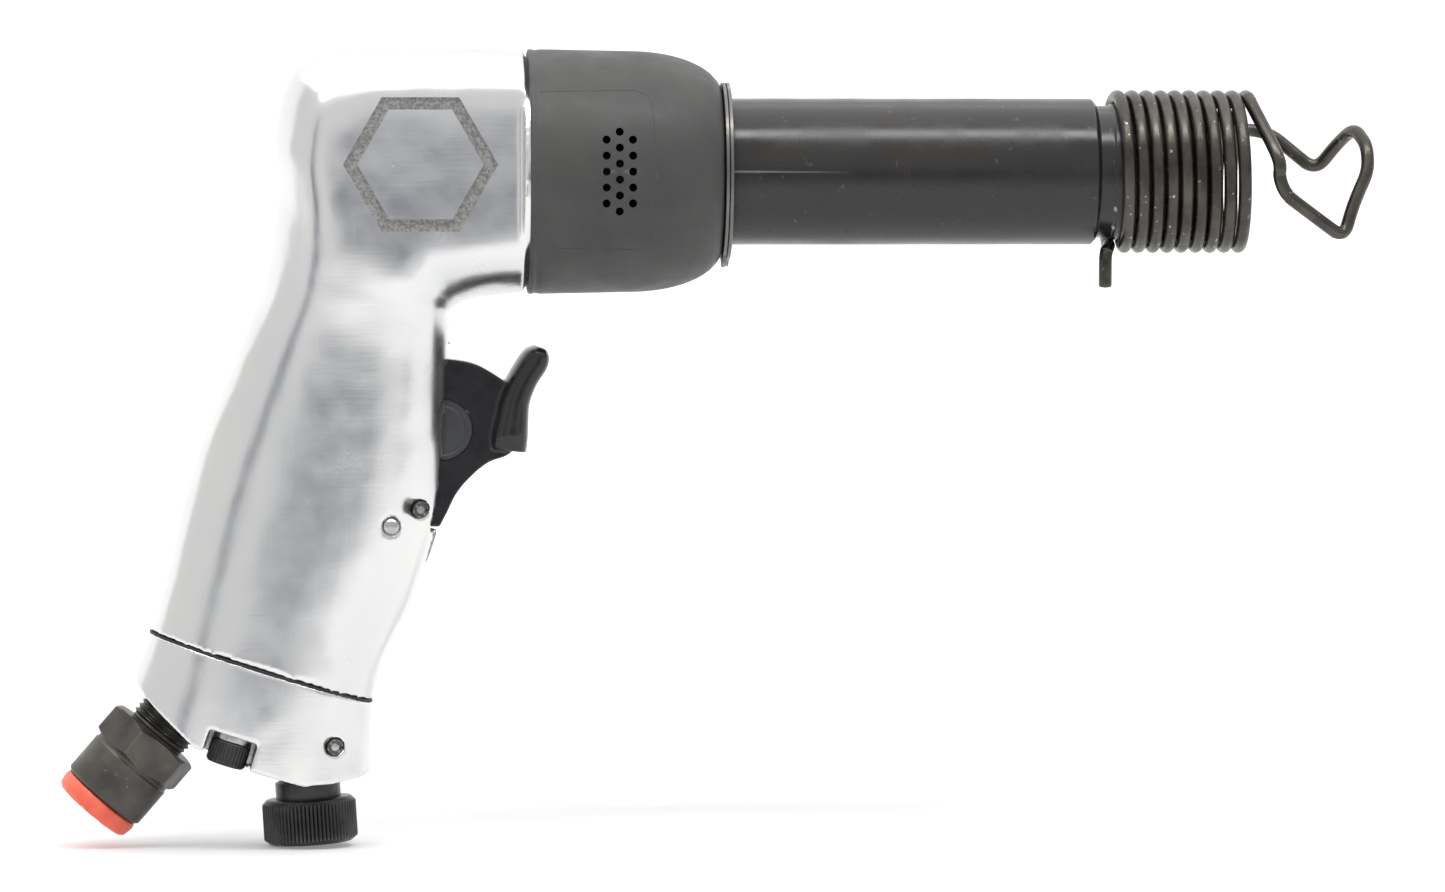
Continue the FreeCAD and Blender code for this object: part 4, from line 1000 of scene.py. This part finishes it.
# ---------------------------------------------------------------- stage
def make_stage():
    """A pale floor under the tool and a brighter backdrop that curves up behind it."""
    floor_z = cad_box[0][2] / MM - 0.3
    curve = [(1500 + 900 * sin(a), floor_z + 900 * (1 - cos(a))) for a in np.linspace(0.1, pi / 2, 16)]
    backdrop = [(500, floor_z)] + curve + [(2400, floor_z + 4000)]
    for name, profile, colour, glow in (("floor", [(-450, floor_z), (500, floor_z)], 0.62, 0.22),
                                        ("backdrop", backdrop, 0.4, 0.85)):
        verts = [Vector((x, y, z)) for y, z in profile for x in (-6000, 6000)]
        faces = [(2 * i, 2 * i + 1, 2 * i + 3, 2 * i + 2) for i in range(len(profile) - 1)]
        sheet = mesh_object(name, verts, faces)
        sheet.data.polygons.foreach_set("use_smooth", [True] * len(sheet.data.polygons))
        sheet.data.materials.append(Shader("pale_" + name).finish(
            Base_Color=(colour, colour, colour, 1), Roughness=0.9, Emission_Color=(1, 1, 1, 1),
            Emission_Strength=glow))


def softbox(name, at, size, radiance, target=(-0.12, 0, -0.06)):
    """A rectangular light facing the tool, as bright per area as radiance says."""
    data = bpy.data.lights.new(name, "AREA")
    data.shape = "RECTANGLE"
    data.size, data.size_y = size
    data.energy = radiance * pi * size[0] * size[1]
    light = bpy.data.objects.new(name, data)
    bpy.context.scene.collection.objects.link(light)
    light.location = at
    light.rotation_euler = (Vector(target) - Vector(at)).to_track_quat("-Z", "Y").to_euler()


# Dark parts of the studio round the camera, which polished metal shows as soft streaks: each is (direction,
# width, height, share of the light taken away).
STUDIO_GAPS = [((0.02, -1.0, -0.07), 0.32, 0.2, 0.9), ((-0.62, -0.78, -0.15), 0.2, 0.7, 0.8),
               ((0.75, -0.66, -0.1), 0.3, 0.6, 0.5)]


def make_lights():
    softbox("overhead", (-0.1, 0.3, 1.3), (2.6, 1.4), 0.95)
    softbox("strip", (-0.1, -0.62, 1.15), (1.9, 0.26), 9.0)
    world = bpy.data.worlds.new("studio")
    bpy.context.scene.world = world
    world.use_nodes = True
    tree = world.node_tree
    direction = tree.nodes.new("ShaderNodeTexCoord").outputs["Generated"]
    light = None
    for toward, width, height, share in STUDIO_GAPS:
        toward = Vector(toward).normalized()
        mapping = tree.nodes.new("ShaderNodeMapping")
        mapping.inputs["Scale"].default_value = (1 / width, 1 / width, 1 / height)
        mapping.inputs["Location"].default_value = (-toward.x / width, -toward.y / width, -toward.z / height)
        tree.links.new(direction, mapping.inputs["Vector"])
        gap = tree.nodes.new("ShaderNodeTexGradient")
        gap.gradient_type = "SPHERICAL"
        tree.links.new(mapping.outputs[0], gap.inputs[0])
        left = tree.nodes.new("ShaderNodeMapRange")
        left.interpolation_type = "SMOOTHSTEP"
        left.inputs["From Max"].default_value = 0.8
        left.inputs["To Min"].default_value = 1.0
        left.inputs["To Max"].default_value = 1 - share
        tree.links.new(gap.outputs["Fac"], left.inputs[0])
        if light is None:
            light = left.outputs[0]
            continue
        product = tree.nodes.new("ShaderNodeMath")
        product.operation = "MULTIPLY"
        tree.links.new(light, product.inputs[0])
        tree.links.new(left.outputs[0], product.inputs[1])
        light = product.outputs[0]
    tint = tree.nodes.new("ShaderNodeMix")
    tint.data_type = "RGBA"
    tint.inputs[6].default_value = (0.1, 0.12, 0.17, 1)
    tint.inputs[7].default_value = (0.82, 0.82, 0.82, 1)
    tree.links.new(light, tint.inputs[0])
    tree.links.new(tint.outputs[2], tree.nodes["Background"].inputs["Color"])
    tree.nodes["Background"].inputs["Strength"].default_value = 0.95


def make_camera():
    """The photo's view: square to the barrel's side, a little above and behind the middle, from 1.6 m."""
    data = bpy.data.cameras.new("camera")
    data.sensor_width = 36
    data.lens = 163
    data.clip_end = 50
    camera = bpy.data.objects.new("camera", data)
    bpy.context.scene.collection.objects.link(camera)
    camera.location = (-0.226, -1.63, 0.0)
    target = Vector((-0.1234, 0, -0.0685))
    camera.rotation_euler = (target - camera.location).to_track_quat("-Z", "Y").to_euler()
    bpy.context.scene.camera = camera


make_stage()
make_lights()
make_camera()
bpy.context.scene.view_settings.view_transform = "Standard"
